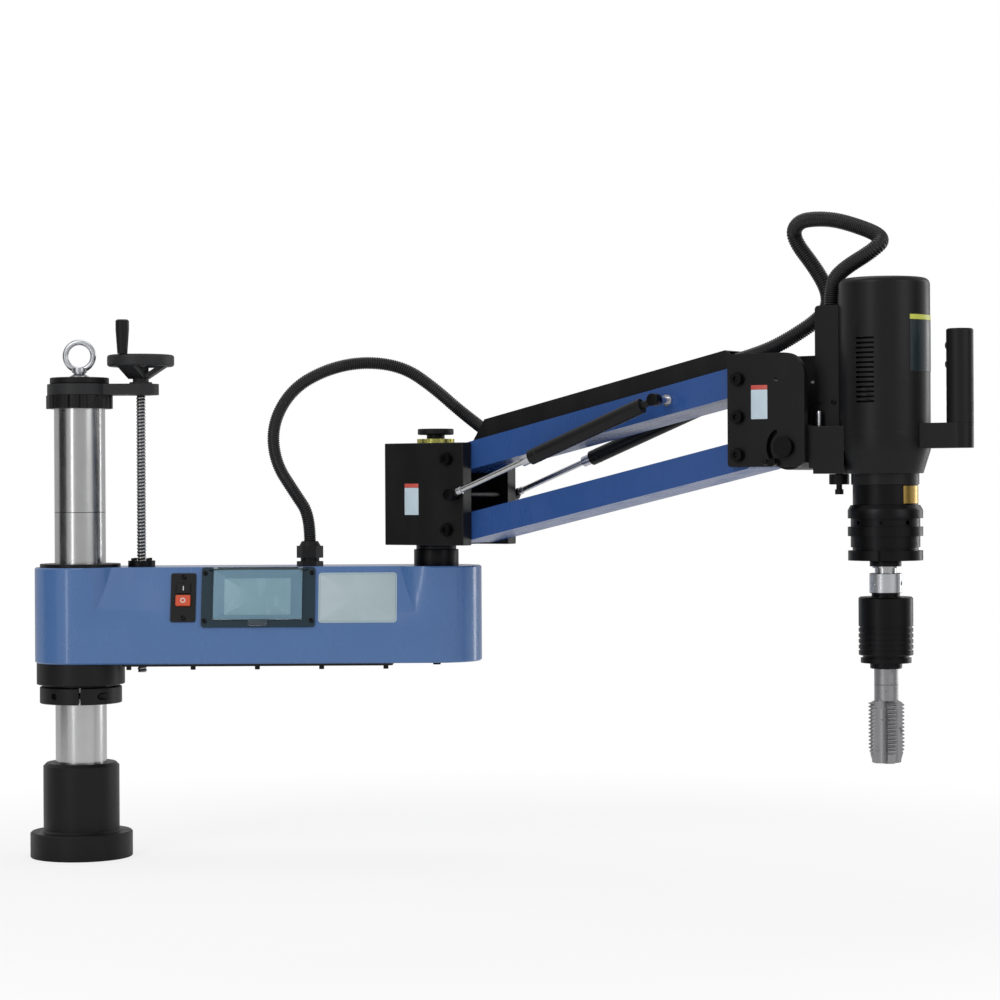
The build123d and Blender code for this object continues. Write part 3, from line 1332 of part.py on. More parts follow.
def motor_cover():
    """The motor's cap, with a set of cooling slots at the front and at the back."""
    body = rod(CASE_RADIUS, CASE_TOP, MOTOR_TOP)
    body = fillet(body.edges().filter_by(GeomType.CIRCLE).sort_by(Axis.Z)[-1], MOTOR_EDGE)
    inner = CASE_RADIUS - MOTOR_WALL
    hollow = rod(inner, CASE_TOP - OVER, MOTOR_TOP - MOTOR_WALL)
    rounding = MOTOR_EDGE - MOTOR_WALL
    body -= fillet(hollow.edges().filter_by(GeomType.CIRCLE).sort_by(Axis.Z)[-1], rounding)
    half = VENT_WIDTH / 2
    for i in range(VENTS):
        z = VENT_FIRST + i * VENT_PITCH
        low, top = z - VENT_HEIGHT / 2, z + VENT_HEIGHT / 2
        body -= block(-half, half, -CASE_RADIUS - OVER, -CORE_RADIUS, low, top)
        body -= block(-half, half, CORE_RADIUS, CASE_RADIUS + OVER, low, top)
    return YOKE * about(HEAD_X) * body


def motor_core():
    """Stator and rotor as one, with the pinion that reaches into the gearbox."""
    roof = CASE_TOP - CASE_ROOF
    low = roof - CARRIER_THICK - PLANET_THICK
    body = rod(CORE_RADIUS, CASE_TOP, CORE_TOP) + rod(PINION_RADIUS, low, CASE_TOP)
    return YOKE * about(HEAD_X) * body


def carrier_top():
    """The height of the planet carrier's upper face, with room under the pinion."""
    return CASE_TOP - CASE_ROOF - CARRIER_THICK - PLANET_THICK - GAP


def planet_gears():
    """The planets on the carrier's pins, as plain rollers of their pitch size."""
    low = carrier_top() + GAP
    gears = []
    for turn in around(PLANETS):
        gear = ring(PLANET_RADIUS, PLANET_PIN + RUNNING, low, low + PLANET_THICK, PLANET_ORBIT)
        gears.append(YOKE * about(HEAD_X) * turn * gear)
    return gears


def adapter_body():
    """The plain ring between the gearbox flange and the clutch housing."""
    body = ring(ADAPTER_RADIUS, BEARING_SEAT, ADAPTER_LOW, FLANGE_LOW)
    return YOKE * about(HEAD_X) * chamfer(body.edges().filter_by(GeomType.CIRCLE), ADAPTER_EDGE)


def clutch_housing():
    """The stepped housing round the spindle, with tommy-bar holes and a notched nut ring."""
    upper, waist_low, middle, lower = RING_EDGES
    body = turned(
        (BEARING_SEAT, ADAPTER_LOW),
        (WAIST_RADIUS, ADAPTER_LOW),
        (RING_RADIUS, RING_CHAMFER_LOW),
        (RING_RADIUS, upper),
        (WAIST_RADIUS, upper),
        (WAIST_RADIUS, waist_low),
        (RING_RADIUS, waist_low),
        (RING_RADIUS, middle),
        (WAIST_RADIUS, middle),
        (WAIST_RADIUS, lower),
        (NUT_RING_NECK, lower),
        (NUT_RING_NECK, NUT_RING_TOP),
        (NUT_RING_RADIUS, NUT_RING_TOP),
        (NUT_RING_RADIUS, NUT_RING_LOW),
        (SPINDLE_COLLAR + GAP, NUT_RING_LOW),
        (SPINDLE_COLLAR + GAP, NUT_RING_LOW + HOUSING_FLOOR),
        (BEARING_SEAT, NUT_RING_LOW + HOUSING_FLOOR),
    )
    for turn in around(TOMMY_HOLES, HEAD_TURN):
        hole = Pos(WAIST_RADIUS, 0, (upper + waist_low) / 2) * Rot(0, 90, 0)
        body -= turn * hole * Cylinder(TOMMY_HOLE, 2 * TOMMY_DEPTH)
    for turn in around(NUT_RING_NOTCHES, HEAD_TURN):
        half = NUT_RING_NOTCH / 2
        low, top = NUT_RING_LOW - OVER, NUT_RING_TOP + OVER
        notch = block(NUT_RING_NECK, NUT_RING_RADIUS + OVER, -half, half, low, top)
        body -= turn * notch
    return YOKE * about(HEAD_X) * body


def spindle_bearings():
    """The spindle's two bearings in the clutch housing."""
    low = NUT_RING_LOW + HOUSING_FLOOR
    rings = []
    for start in (low, ADAPTER_LOW - BEARING_WIDTH):
        body = ring(BEARING_SEAT - PRESS, SPINDLE_RADIUS + RUNNING, start, start + BEARING_WIDTH)
        rings.append(YOKE * about(HEAD_X) * body)
    return rings


def spindle():
    """The spindle from the planet carrier down to the pin that the tap holder snaps on."""
    low = carrier_top() - CARRIER_THICK
    collar_top = NUT_RING_LOW - GAP
    body = turned(
        (0, NOSE_PIN_LOW),
        (NOSE_PIN - EDGE, NOSE_PIN_LOW),
        (NOSE_PIN, NOSE_PIN_LOW + EDGE),
        (NOSE_PIN, SPINDLE_COLLAR_LOW),
        (SPINDLE_COLLAR, SPINDLE_COLLAR_LOW),
        (SPINDLE_COLLAR, collar_top),
        (SPINDLE_RADIUS, collar_top),
        (SPINDLE_RADIUS, low),
        (CARRIER_RADIUS, low),
        (CARRIER_RADIUS, carrier_top()),
        (0, carrier_top()),
    )
    for turn in around(PLANETS):
        pin = rod(PLANET_PIN, carrier_top() - OVER, carrier_top() + PLANET_THICK, PLANET_ORBIT)
        body += turn * pin
    return YOKE * about(HEAD_X) * body


def chuck_sleeve():
    """The sprung sleeve that is pushed up to free the tap holder."""
    body = ring(SLEEVE_RING_RADIUS, NOSE_PIN + RUNNING, SLEEVE_RING_LOW, SLEEVE_RING_TOP)
    body = chamfer(body.edges().filter_by(GeomType.CIRCLE).sort_by(SortBy.RADIUS)[-2:], FINE_EDGE)
    middle = (SLEEVE_RING_LOW + SLEEVE_RING_TOP) / 2
    for turn in around(SLEEVE_HOLES, SLEEVE_TURN):
        hole = Pos(SLEEVE_RING_RADIUS, 0, middle) * Rot(0, 90, 0)
        body -= turn * hole * Cylinder(TOMMY_HOLE, SLEEVE_RING_RADIUS - NOSE_PIN)
    return YOKE * about(HEAD_X) * body


def tap_holder():
    """The black tap holder with its grip grooves, lower ring and mouth."""
    body = turned(
        (0, HOLDER_MOUTH_LOW),
        (HOLDER_MOUTH - EDGE, HOLDER_MOUTH_LOW),
        (HOLDER_MOUTH, HOLDER_MOUTH_LOW + EDGE),
        (HOLDER_MOUTH, HOLDER_RING_LOW),
        (HOLDER_RING, HOLDER_RING_LOW),
        (HOLDER_RING, HOLDER_RING_TOP),
        (HOLDER_NECK, HOLDER_RING_TOP),
        (HOLDER_NECK, HOLDER_LOW),
        (HOLDER_RADIUS - EDGE, HOLDER_LOW),
        (HOLDER_RADIUS, HOLDER_LOW + EDGE),
        (HOLDER_RADIUS, HOLDER_TOP - HOLDER_EDGE),
        (HOLDER_RADIUS - HOLDER_EDGE, HOLDER_TOP),
        (HOLDER_COLLAR, HOLDER_TOP),
        (HOLDER_COLLAR, SLEEVE_RING_LOW - GAP),
        (0, SLEEVE_RING_LOW - GAP),
    )
    for i in range(HOLDER_GROOVES):
        low = HOLDER_GROOVE_FIRST + i * HOLDER_GROOVE_PITCH
        floor = HOLDER_RADIUS - HOLDER_GROOVE_DEPTH
        body -= ring(HOLDER_RADIUS + OVER, floor, low, low + HOLDER_GROOVE)
    body -= rod(NOSE_PIN + PRESS, NOSE_PIN_LOW, SLEEVE_RING_LOW + OVER)
    body -= rod(TAP_SHANK + PRESS, HOLDER_MOUTH_LOW - OVER, TAP_SHANK_TOP)
    return YOKE * about(HEAD_X) * body


def tap():
    """The tap: a plain shank, rings as deep as its thread, a lead and four straight flutes."""
    thread = threaded(TAP_RADIUS, TAP_THREAD_DEPTH, TAP_PITCH, TAP_LOW, TAP_SHANK_LOW)
    root = TAP_RADIUS - TAP_THREAD_DEPTH
    tip = turned((0, TAP_TIP), (root - TAP_TIP_TAPER, TAP_TIP), (root, TAP_LOW), (0, TAP_LOW))
    lead_top = TAP_LOW + TAP_LEAD * TAP_PITCH
    lead = turned(
        (root - EDGE, TAP_TIP - OVER),
        (TAP_RADIUS + TAP_LEAD_CUT, TAP_TIP - OVER),
        (TAP_RADIUS + TAP_LEAD_CUT, lead_top),
        (TAP_RADIUS, lead_top),
    )
    body = thread + tip + rod(TAP_SHANK, TAP_SHANK_LOW, TAP_SHANK_TOP) - lead
    for turn in around(TAP_FLUTES, HEAD_TURN):
        body -= turn * rod(TAP_FLUTE, TAP_TIP - OVER, TAP_SHANK_LOW + OVER, TAP_FLUTE_RING)
    return YOKE * about(HEAD_X) * body


def cable_duct():
    """The upright channel beside the motor, open towards it."""
    body = block(DUCT_LEFT, DUCT_RIGHT, -DUCT_HALF, DUCT_HALF, HEAD_BLOCK_TOP, DUCT_TOP)
    edge = body.edges().filter_by(Axis.Y).group_by(Axis.Z)[-1].sort_by(Axis.X)[0]
    body = fillet(edge, DUCT_EDGE)
    inner = DUCT_HALF - DUCT_WALL
    roof = DUCT_TOP - DUCT_WALL
    body -= block(
        DUCT_LEFT + DUCT_WALL, DUCT_RIGHT + OVER, -inner, inner, HEAD_BLOCK_TOP - OVER, roof
    )
    body -= rod(CASE_RADIUS + GAP, HEAD_BLOCK_TOP - OVER, DUCT_TOP + OVER, HEAD_X)
    return YOKE * (body - rod(HOSE_HEAD_BORE, roof - OVER, DUCT_TOP + OVER, DUCT_HOSE_X))


def handle_bar():
    """The bar that holds the grip beside the gearbox."""
    half = HANDLE_RADIUS
    body = block(HEAD_X, HANDLE_X, -half, half, HANDLE_LOW, HANDLE_BAR_TOP)
    body += rod(half, HANDLE_LOW, HANDLE_BAR_TOP, HANDLE_X)
    body -= rod(CASE_RADIUS + PRESS, HANDLE_LOW - OVER, HANDLE_BAR_TOP + OVER, HEAD_X)
    return YOKE * body


def handle_grip():
    """The upright grip with finger grooves and the holes of its two buttons."""
    body = rod(HANDLE_RADIUS, HANDLE_BAR_TOP, HANDLE_TOP, HANDLE_X)
    body = fillet(body.edges().filter_by(GeomType.CIRCLE).sort_by(Axis.Z)[-1], HANDLE_EDGE)
    face = HANDLE_X - HANDLE_RADIUS
    for z in FINGER_Z:
        centre = face + FINGER_DEPTH - FINGER_RADIUS
        body -= bar(FINGER_RADIUS, -HANDLE_RADIUS, HANDLE_RADIUS, centre, z)
    for z in GRIP_BUTTON_Z:
        depth = GRIP_BUTTON_LENGTH - GRIP_BUTTON_PROUD + GRIP_BUTTON_TRAVEL + GAP
        hole = Pos(face + depth / 2, 0, z) * Rot(0, 90, 0)
        body -= hole * Cylinder(GRIP_BUTTON_RADIUS + GAP, depth)
    return YOKE * body


def grip_buttons():
    """The forward and reverse buttons on the grip's inner side."""
    start = HANDLE_X - HANDLE_RADIUS - GRIP_BUTTON_PROUD
    buttons = []
    for z in GRIP_BUTTON_Z:
        place = Pos(start + GRIP_BUTTON_LENGTH / 2, 0, z) * Rot(0, 90, 0)
        body = place * Cylinder(GRIP_BUTTON_RADIUS, GRIP_BUTTON_LENGTH)
        buttons.append(YOKE * body)
    return buttons


# ---- hoses


def corner_radii(points):
    """Each corner's radius: a share of its shorter run, divided by the tangent of half its turn."""
    radii = []
    for before, corner, after in zip(points, points[1:], points[2:]):
        first, second = corner - before, after - corner
        half_turn = radians(first.get_angle(second)) / 2
        radii.append(BEND_SHARE * min(first.length, second.length) / tan(half_turn))
    return radii


def hose(name, points, radius, bore):
    """A ribbed tube along straight runs and tangent arcs, with its bore.

    Its circles' X axis is carried along the path without twist, so that neighbours line up.
    """
    points = [Vector(*point) for point in points]
    radii = corner_radii(points)
    path = FilletPolyline(*points, radius=radii)
    length = path.length
    count = int(length / RIB_PITCH)
    root = radius - HOSE_WALL
    circles = []
    for i in range(count):
        for share, size in zip(RIB_SHARES, (root, radius, radius, root)):
            circles.append(((i + share) / count, size))
    circles[0] = (0, root)
    circles[-1] = (1, root)
    wires = []
    side = Vector(0, 1, 0)
    before = path.tangent_at(0)
    for share, size in circles:
        heading = path.tangent_at(share)
        turn = before.cross(heading)
        if turn.length > NO_TURN:
            side = side.rotate(Axis((0, 0, 0), turn), before.get_angle(heading))
        place = Plane(origin=path.position_at(share), x_dir=side, z_dir=heading)
        wires.append(Wire.make_circle(size, place))
        before = heading
    core = sweep(Plane(origin=points[0], z_dir=path.tangent_at(0)) * Circle(bore), path)
    body = Solid.make_loft(wires, ruled=True) - core
    section = -pi * bore**2
    for (start, first), (end, second) in zip(circles, circles[1:]):
        section += pi * (end - start) * (first**2 + first * second + second**2) / 3
    print(name, "ribs", count, "length", round(length), "radii", [round(r, 1) for r in radii])
    print(name, "volume", round(body.volume), "section times length", round(section * length))
    return body


def link_mouth(x):
    """A place halfway up the link cover, in the second arm's frame."""
    return UPPER_LINK * Pos(x, 0, LINK_HEIGHT / 2 + COVER_HEIGHT / 2)


def hose_arm():
    """The hose from the gland to the link cover's sloping end."""
    lead, tail = HOSE_LEADS[:2]
    start = (GLAND_X, 0, ARM_TOP + GLAND_TOP)
    lead_end = (GLAND_X, 0, ARM_TOP + GLAND_TOP + lead)
    mouth = SECOND_ARM * link_mouth(COVER_START + COVER_HEIGHT / 2) * Rot(0, COVER_SLOPE, 0)
    tail_start = (mouth * Pos(0, 0, -tail)).position
    stretch = (ARM_REACH - GLAND_X) / DRAWN_ARM_RUN
    middle = [(GLAND_X + (x - GLAND_X) * stretch, y, z) for x, y, z in HOSE_ARM_ROUTE]
    route = [start, lead_end, *middle, tail_start, mouth.position]
    return hose("hose_arm", route, HOSE_ARM_RADIUS, HOSE_ARM_BORE)


def hose_head():
    """The hose from the link cover's bulkhead, round a loop, into the duct's top."""
    lead, tail = HOSE_LEADS[2:]
    start = link_mouth(COVER_BULKHEAD + COVER_WALL)
    lead_end = (start * Pos(lead, 0, 0)).position
    drawn = [*HOSE_HEAD_ROUTE, (DUCT_HOSE_X, 0, DUCT_TOP + tail), (DUCT_HOSE_X, 0, DUCT_TOP)]
    route = [start.position, lead_end, *[(HEAD_SHIFT * Pos(*point)).position for point in drawn]]
    return SECOND_ARM * hose("hose_head", route, HOSE_HEAD_RADIUS, HOSE_HEAD_BORE)


PARTS = (
    base_stand, column, stop_collar, collar_screws, lock_ring, column_cap, lifting_eye,
    screw_bracket, lead_screw, handwheel, crank_grip,
    thrust_bearing, arm_casting, column_bushes, wiper_ring, lift_nut, arm_cover_plate, arm_screws,
    servo_drive, switch_plate, start_button, stop_button, display_bezel, display_cover, cable_gland,
    pivot_shaft, pivot_rings, elbow_block, pivot_bearings, bearing_cap, lock_knob, elbow_pins,
    upper_link, lower_link, upper_ball_studs, spring_rods, spring_cylinders, link_cover,
    yoke_plates, yoke_pins, tilt_lock_lever, head_bracket, index_plunger, gear_case, motor_cover,
    motor_core, planet_gears, adapter_body, clutch_housing, spindle_bearings, spindle,
    chuck_sleeve, tap_holder, tap, cable_duct, handle_bar, handle_grip, grip_buttons,
    hose_arm, hose_head,
)


def main():
    os.makedirs("parts", exist_ok=True)
    for make in PARTS:
        made = make()
        shape = Compound(made) if isinstance(made, list) else made
        export_step(shape, f"parts/{make.__name__}.step")


main()
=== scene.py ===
"""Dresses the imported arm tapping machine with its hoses, threads, plates, screws and finishes.

The file is laid out as an add-on and run as a script. The scene is in metres. Shapes are worked
out in millimetres, each in the frame of what carries it, and set down in metres.
"""

import json
from math import cos, pi, radians, sin

import bmesh
import bpy
import numpy as np
from bpy.props import FloatProperty, FloatVectorProperty, IntProperty, PointerProperty
from bpy.types import Operator, Panel, PropertyGroup
from mathutils import Matrix, Vector

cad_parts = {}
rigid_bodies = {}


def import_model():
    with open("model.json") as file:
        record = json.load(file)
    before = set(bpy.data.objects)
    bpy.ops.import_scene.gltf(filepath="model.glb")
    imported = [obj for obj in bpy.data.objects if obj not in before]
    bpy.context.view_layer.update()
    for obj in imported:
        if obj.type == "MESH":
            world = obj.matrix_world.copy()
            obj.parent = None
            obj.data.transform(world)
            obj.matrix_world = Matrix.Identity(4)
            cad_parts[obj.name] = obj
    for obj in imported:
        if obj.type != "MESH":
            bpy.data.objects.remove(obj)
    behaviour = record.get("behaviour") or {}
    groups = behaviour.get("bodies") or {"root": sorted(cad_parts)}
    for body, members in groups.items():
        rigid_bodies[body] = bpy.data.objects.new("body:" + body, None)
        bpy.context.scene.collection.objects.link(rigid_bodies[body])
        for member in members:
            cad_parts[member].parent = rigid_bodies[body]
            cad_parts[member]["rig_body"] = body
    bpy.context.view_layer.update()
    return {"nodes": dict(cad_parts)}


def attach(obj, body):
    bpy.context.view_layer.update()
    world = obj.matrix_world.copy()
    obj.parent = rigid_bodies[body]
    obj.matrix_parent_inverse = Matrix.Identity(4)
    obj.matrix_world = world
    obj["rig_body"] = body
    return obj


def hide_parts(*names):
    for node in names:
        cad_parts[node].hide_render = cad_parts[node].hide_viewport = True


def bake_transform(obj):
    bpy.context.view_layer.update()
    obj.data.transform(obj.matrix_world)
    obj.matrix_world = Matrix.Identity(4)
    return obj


bl_info = {
    "name": "Arm tapping machine looks",
    "version": (1, 0, 0),
    "blender": (4, 5, 0),
    "location": "3D View > Sidebar > Tapping machine",
    "description": "Builds the visible surfaces, finishes and studio of an arm tapping machine",
    "category": "Mesh",
}

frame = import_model()
NODES = frame["nodes"]

MM = 0.001
SECOND_ARM = Matrix.Translation((0.534, 0, 0)) @ Matrix.Rotation(radians(-34), 4, "Z")
SLOPE = radians(15.5)
PANEL = Matrix((
    (1, 0, 0, 0),
    (0, sin(SLOPE), -cos(SLOPE), -0.06775),
    (0, cos(SLOPE), sin(SLOPE), 0.343),
    (0, 0, 0, 1),
))
HEAD = SECOND_ARM @ Matrix.Translation((0.7406, 0, 0))
SPRING = SECOND_ARM @ Matrix.Translation((0.0843, 0, 0.5384)) @ Matrix.Rotation(radians(-20.716), 4, "Y")
ELBOW = Matrix.Translation((0.534, 0, 0))
LEAD_SCREW = Matrix.Translation((0.092, 0, 0))
WORLD = Matrix.Identity(4)


# ---- settings that a user would change


def colour(name, description, *value):
    return FloatVectorProperty(
        name=name, description=description, subtype="COLOR", size=4, min=0, max=1, default=(*value, 1)
    )


def length(name, description, value, least):
    return FloatProperty(name=name, description=description, default=value, unit="LENGTH", min=least)


def power(name, description, value):
    return FloatProperty(name=name, description=description, default=value, unit="POWER", min=0)


class FinishSettings(PropertyGroup):
    """Colours of the paints, plastics and metals."""

    casting_blue: colour("Casting blue", "Gloss paint of the first arm", 0.072, 0.165, 0.385)
    link_blue: colour("Link blue", "Gloss paint of the two links", 0.026, 0.084, 0.285)
    black_enamel: colour("Black enamel", "Satin paint of the black castings", 0.0075, 0.0075, 0.008)
    dark_grey_paint: colour("Dark grey paint", "Paint of the wheel and its bracket", 0.022, 0.0225, 0.024)
    ground_steel: colour("Ground steel", "Column, shafts and rods", 0.62, 0.62, 0.625)
    bright_zinc: colour("Bright zinc", "Plated small parts", 0.64, 0.65, 0.68)
    yellow_zinc: colour("Yellow zinc", "Passivated ring under the knob", 0.62, 0.60, 0.17)
    screw_steel: colour("Screw steel", "Lead screw", 0.42, 0.42, 0.425)
    black_oxide: colour("Black oxide", "Blackened screws and clutch parts", 0.016, 0.016, 0.017)
    tool_steel: colour("Tool steel", "Ground tap", 0.36, 0.36, 0.37)
    brass: colour("Brass", "Nut, bushes and the clutch plate", 0.55, 0.36, 0.10)
    aluminium: colour("Aluminium", "Case of the drive unit", 0.55, 0.55, 0.57)
    black_plastic: colour("Black plastic", "Moulded knobs and caps", 0.009, 0.009, 0.0095)
    hose_plastic: colour("Hose plastic", "Corrugated conduit", 0.010, 0.010, 0.0105)
    panel_plastic: colour("Panel plastic", "Frame of the display", 0.014, 0.033, 0.047)
    stop_red: colour("Stop button", "Push button that stops the motor", 0.64, 0.085, 0.028)
    core_varnish: colour("Core varnish", "Varnish on the motor's laminated core", 0.02, 0.018, 0.016)
    label_grey: colour("Bare plate", "Plate left bare", 0.43, 0.53, 0.565)
    label_pale: colour("Bare plaque", "Small plaques left bare", 0.56, 0.68, 0.76)
    label_red: colour("Red band", "Band over a small plaque", 0.60, 0.09, 0.07)
    label_yellow: colour("Yellow band", "Band over the motor's plate", 0.62, 0.66, 0.10)
    label_dark: colour("Dark plate", "Motor's plate left bare", 0.012, 0.022, 0.028)
    screen_rim: colour("Screen surround", "Film round the screen", 0.150, 0.275, 0.365)
    screen: colour("Screen", "Screen that is switched off", 0.285, 0.43, 0.50)
    mark_white: colour("Switch marks", "Strokes on the push buttons", 0.75, 0.75, 0.74)


class HoseSettings(PropertyGroup):
    """Sizes of the two corrugated hoses."""

    arm_radius: length("Arm hose radius", "Over the ribs", 0.00925, 0.001)
    head_radius: length("Head hose radius", "Over the ribs", 0.0106, 0.001)
    rib_pitch: length("Rib pitch", "From rib to rib", 0.0033, 0.0005)
    rib_depth: length("Rib depth", "From crest to root", 0.0012, 0)
    columns: IntProperty(name="Sides", description="Points round the hose", default=28, min=8)


class ThreadSettings(PropertyGroup):
    """Sizes of the lead screw's and the tap's threads."""

    screw_pitch: length("Screw pitch", "Lead screw's pitch", 0.005, 0.0005)
    tap_pitch: length("Tap pitch", "Tap's pitch", 0.005, 0.0005)
    flutes: IntProperty(name="Flutes", description="Straight flutes of the tap", default=4, min=2)


class StudioSettings(PropertyGroup):
    """Light of the studio."""

    lamp_power: power("Lamp power", "Power of the largest lamp", 34)
    surround: FloatProperty(
        name="Surround", description="Light from the room", default=0.52, min=0, max=2
    )
    strip_power: power("Strip power", "Power of an upright lamp", 20)
    floor_colour: colour("Floor", "Colour of the floor", 0.86, 0.86, 0.86)


# ---- shapes as arrays of points


def rings_to_shape(rings, ends=True, wrap=False):
    """Joins rings of points, an array of rows by columns by three, with quads.

    Point (i, j) meets (i, j + 1), (i + 1, j + 1) and (i + 1, j), columns wrapping round. The ends
    close with fans to their middles, and wrap joins the last ring to the first instead.
    """
    rows, columns = rings.shape[:2]
    i, j = np.indices((rows if wrap else rows - 1, columns))
    across, on = (j + 1) % columns, (i + 1) % rows
    corners = [i * columns + j, i * columns + across, on * columns + across, on * columns + j]
    points, faces = rings.reshape(-1, 3), [np.stack(corners, -1).reshape(-1, 4)]
    if ends and not wrap:
        total, k = rows * columns, np.arange(columns)
        points = np.vstack([points, rings[[0, -1]].mean(1)])
        turn, last = (k + 1) % columns, (rows - 1) * columns
        faces.append(np.stack([np.full(columns, total), turn, k], -1))
        faces.append(np.stack([np.full(columns, total + 1), last + k, last + turn], -1))
    return points, faces


def round_angles(columns):
    return np.linspace(0, 2 * pi, columns, endpoint=False)


def softened_line(corners, by, steps=4):
    """Rounds an outline's corners: each becomes a parabola that starts and ends the given way off.

    With p the corner, a and b the points that far towards its neighbours, the new points are
    (1 - t)^2 a + 2 t (1 - t) p + t^2 b for t from 0 to 1. The first and last point stay.
    """
    corners = np.asarray(corners, float)
    p, before, after = corners[1:-1], corners[:-2], corners[2:]
    to_a, to_b = before - p, after - p
    long_a = np.linalg.norm(to_a, axis=1, keepdims=True)
    long_b = np.linalg.norm(to_b, axis=1, keepdims=True)
    a = p + to_a * np.minimum(by / long_a, 0.48)
    b = p + to_b * np.minimum(by / long_b, 0.48)
    t = np.linspace(0, 1, steps)[None, :, None]
    curve = (1 - t) ** 2 * a[:, None] + 2 * t * (1 - t) * p[:, None] + t**2 * b[:, None]
    return np.vstack([corners[:1], curve.reshape(-1, corners.shape[1]), corners[-1:]])


def turned(profile, by=0.6, columns=96, bored=False):
    """Turns (radius, height) pairs about Z: x = r cos a, y = r sin a, z = height."""
    line = softened_line(profile, by) if by else np.asarray(profile, float)
    a = round_angles(columns)
    r, z = line[:, :1], line[:, 1:]
    rings = np.stack([r * np.cos(a), r * np.sin(a), z + 0 * a], -1)
    return rings_to_shape(rings, wrap=bored)


def rounded_rectangle(width, height, radius, steps=6):
    """Quarter circles about four centres, half a side less the radius from the middle."""
    quarter = np.repeat(np.arange(4), steps + 1)
    a = (quarter + np.tile(np.linspace(0, 1, steps + 1), 4)) * pi / 2
    x = np.sign(np.cos(quarter * pi / 2 + pi / 4)) * (width / 2 - radius) + radius * np.cos(a)
    y = np.sign(np.sin(quarter * pi / 2 + pi / 4)) * (height / 2 - radius) + radius * np.sin(a)
    return np.stack([x, y], -1)


def slab(width, height, radius, low, high, edge):
    """A rounded rectangle carried from low to high, drawn in by the edge at both faces."""
    steps = np.array([(edge, low), (0.3 * edge, low + 0.3 * edge), (0, low + edge),
                      (0, high - edge), (0.3 * edge, high - 0.3 * edge), (edge, high)])
    rings = []
    for e, z in steps:
        outline = rounded_rectangle(width - 2 * e, height - 2 * e, max(radius - e, 0.05))
        rings.append(np.hstack([outline, np.full((len(outline), 1), z)]))
    return rings_to_shape(np.array(rings))


def hexagon(flats, angles):
    """Radius of a hexagon: half the flats over the cosine of the angle from a flat's middle."""
    return flats / 2 / np.cos((angles + pi / 6) % (pi / 3) - pi / 6)


def socket_screw(radius, height, flats, columns=24):
    """A screw's head round Z: side, rounded rim, and a hexagonal recess."""
    a = round_angles(columns)
    six = hexagon(flats, a)
    full = np.ones(columns)
    r = np.array([radius * full, radius * full, (radius - 0.25) * full, (radius - 0.6) * full,
                  six + 0.25, six, six])
    z = np.array([-0.5, height - 0.6, height - 0.15, height, height, height - 0.25, 0.45 * height])
    rings = np.stack([r * np.cos(a), r * np.sin(a), z[:, None] + 0 * a], -1)
    return rings_to_shape(rings)


def hex_prism(flats, low, high, columns=48, chamfer=0.8):
    """A hexagonal bar whose ends are cut to a circle inside the flats."""
    a = round_angles(columns)
    six = hexagon(flats, a)
    end = np.minimum(six, 0.97 * flats / 2)
    shoulder = np.minimum(six, 1.06 * flats / 2)
    r = np.array([end, shoulder, six, six, shoulder, end])
    z = np.array([low, low + 0.5 * chamfer, low + chamfer, high - chamfer, high - 0.5 * chamfer, high])
    rings = np.stack([r * np.cos(a), r * np.sin(a), z[:, None] + 0 * a], -1)
    return rings_to_shape(rings)


def helical(radius_of, pitch, low, high, columns=48, steps=12):
    """A right-handed thread's skin: a grid that climbs one pitch in each turn.

    Point (i, j) is at angle a = 2 pi j / columns and height z = i pitch / steps + pitch a / 2 pi,
    held between low and high. Its radius is a function of its place within the pitch, a and z, and
    column 0 follows the last column one turn further on.
    """
    rows = int(round((high - low) / pitch * steps)) + 2 * steps + 1
    a = round_angles(columns)[None, :]
    within = (np.arange(rows) % steps / steps)[:, None] + 0 * a
    z = low - pitch + np.arange(rows)[:, None] * pitch / steps + pitch * a / (2 * pi)
    z = np.clip(z, low, high)
    r = radius_of(within, a + 0 * z, z)
    points = np.stack([r * np.cos(a), r * np.sin(a), z], -1).reshape(-1, 3)
    i, j = np.indices((rows - 1, columns))
    across = (j + 1) % columns
    climb = np.where(j == columns - 1, steps, 0)
    near, far = i + climb, i + 1 + climb
    keep = far < rows
    corners = [i * columns + j, near * columns + across, far * columns + across, (i + 1) * columns + j]
    quads = np.stack(corners, -1)[keep]
    k = np.arange(columns)
    last = (rows - 1) * columns
    caps = [
        np.stack([np.full(columns, rows * columns), (k + 1) % columns, k], -1),
        np.stack([np.full(columns, rows * columns + 1), last + k, last + (k + 1) % columns], -1),
    ]
    points = np.vstack([points, [(0, 0, low), (0, 0, high)]])
    return points, [quads, *caps]


def set_down(shape, *places):
    """A shape in millimetres, set down once in each place, in metres."""
    points, faces = shape
    count = len(points)
    matrices = np.array([np.array(place) for place in places])
    spread = np.einsum("pij,vj->pvi", matrices[:, :3, :3], points * MM) + matrices[:, None, :3, 3]
    shifts = (np.arange(len(places)) * count)[:, None, None]
    return spread.reshape(-1, 3), [(f[None] + shifts).reshape(-1, f.shape[1]) for f in faces]


def at(x, y, z, turn=0, tilt=0, frame_of=WORLD):
    """A place in millimetres in a frame: turned about Z, then tipped about its new X, in degrees."""
    move = Matrix.Translation(Vector((x, y, z)) * MM)
    turns = Matrix.Rotation(radians(turn), 4, "Z") @ Matrix.Rotation(radians(tilt), 4, "X")
    return frame_of @ move @ turns


# ---- objects from shapes


def finished(name, mesh, body, material):
    """Puts a mesh in the scene with its finish, smooth but for its sharp edges, on its body."""
    mesh.polygons.foreach_set("use_smooth", np.ones(len(mesh.polygons), bool))
    mesh.set_sharp_from_angle(angle=radians(32))
    mesh.materials.append(material)
    made = bpy.data.objects.new(name, mesh)
    bpy.context.scene.collection.objects.link(made)
    if body:
        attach(made, body)
    return made


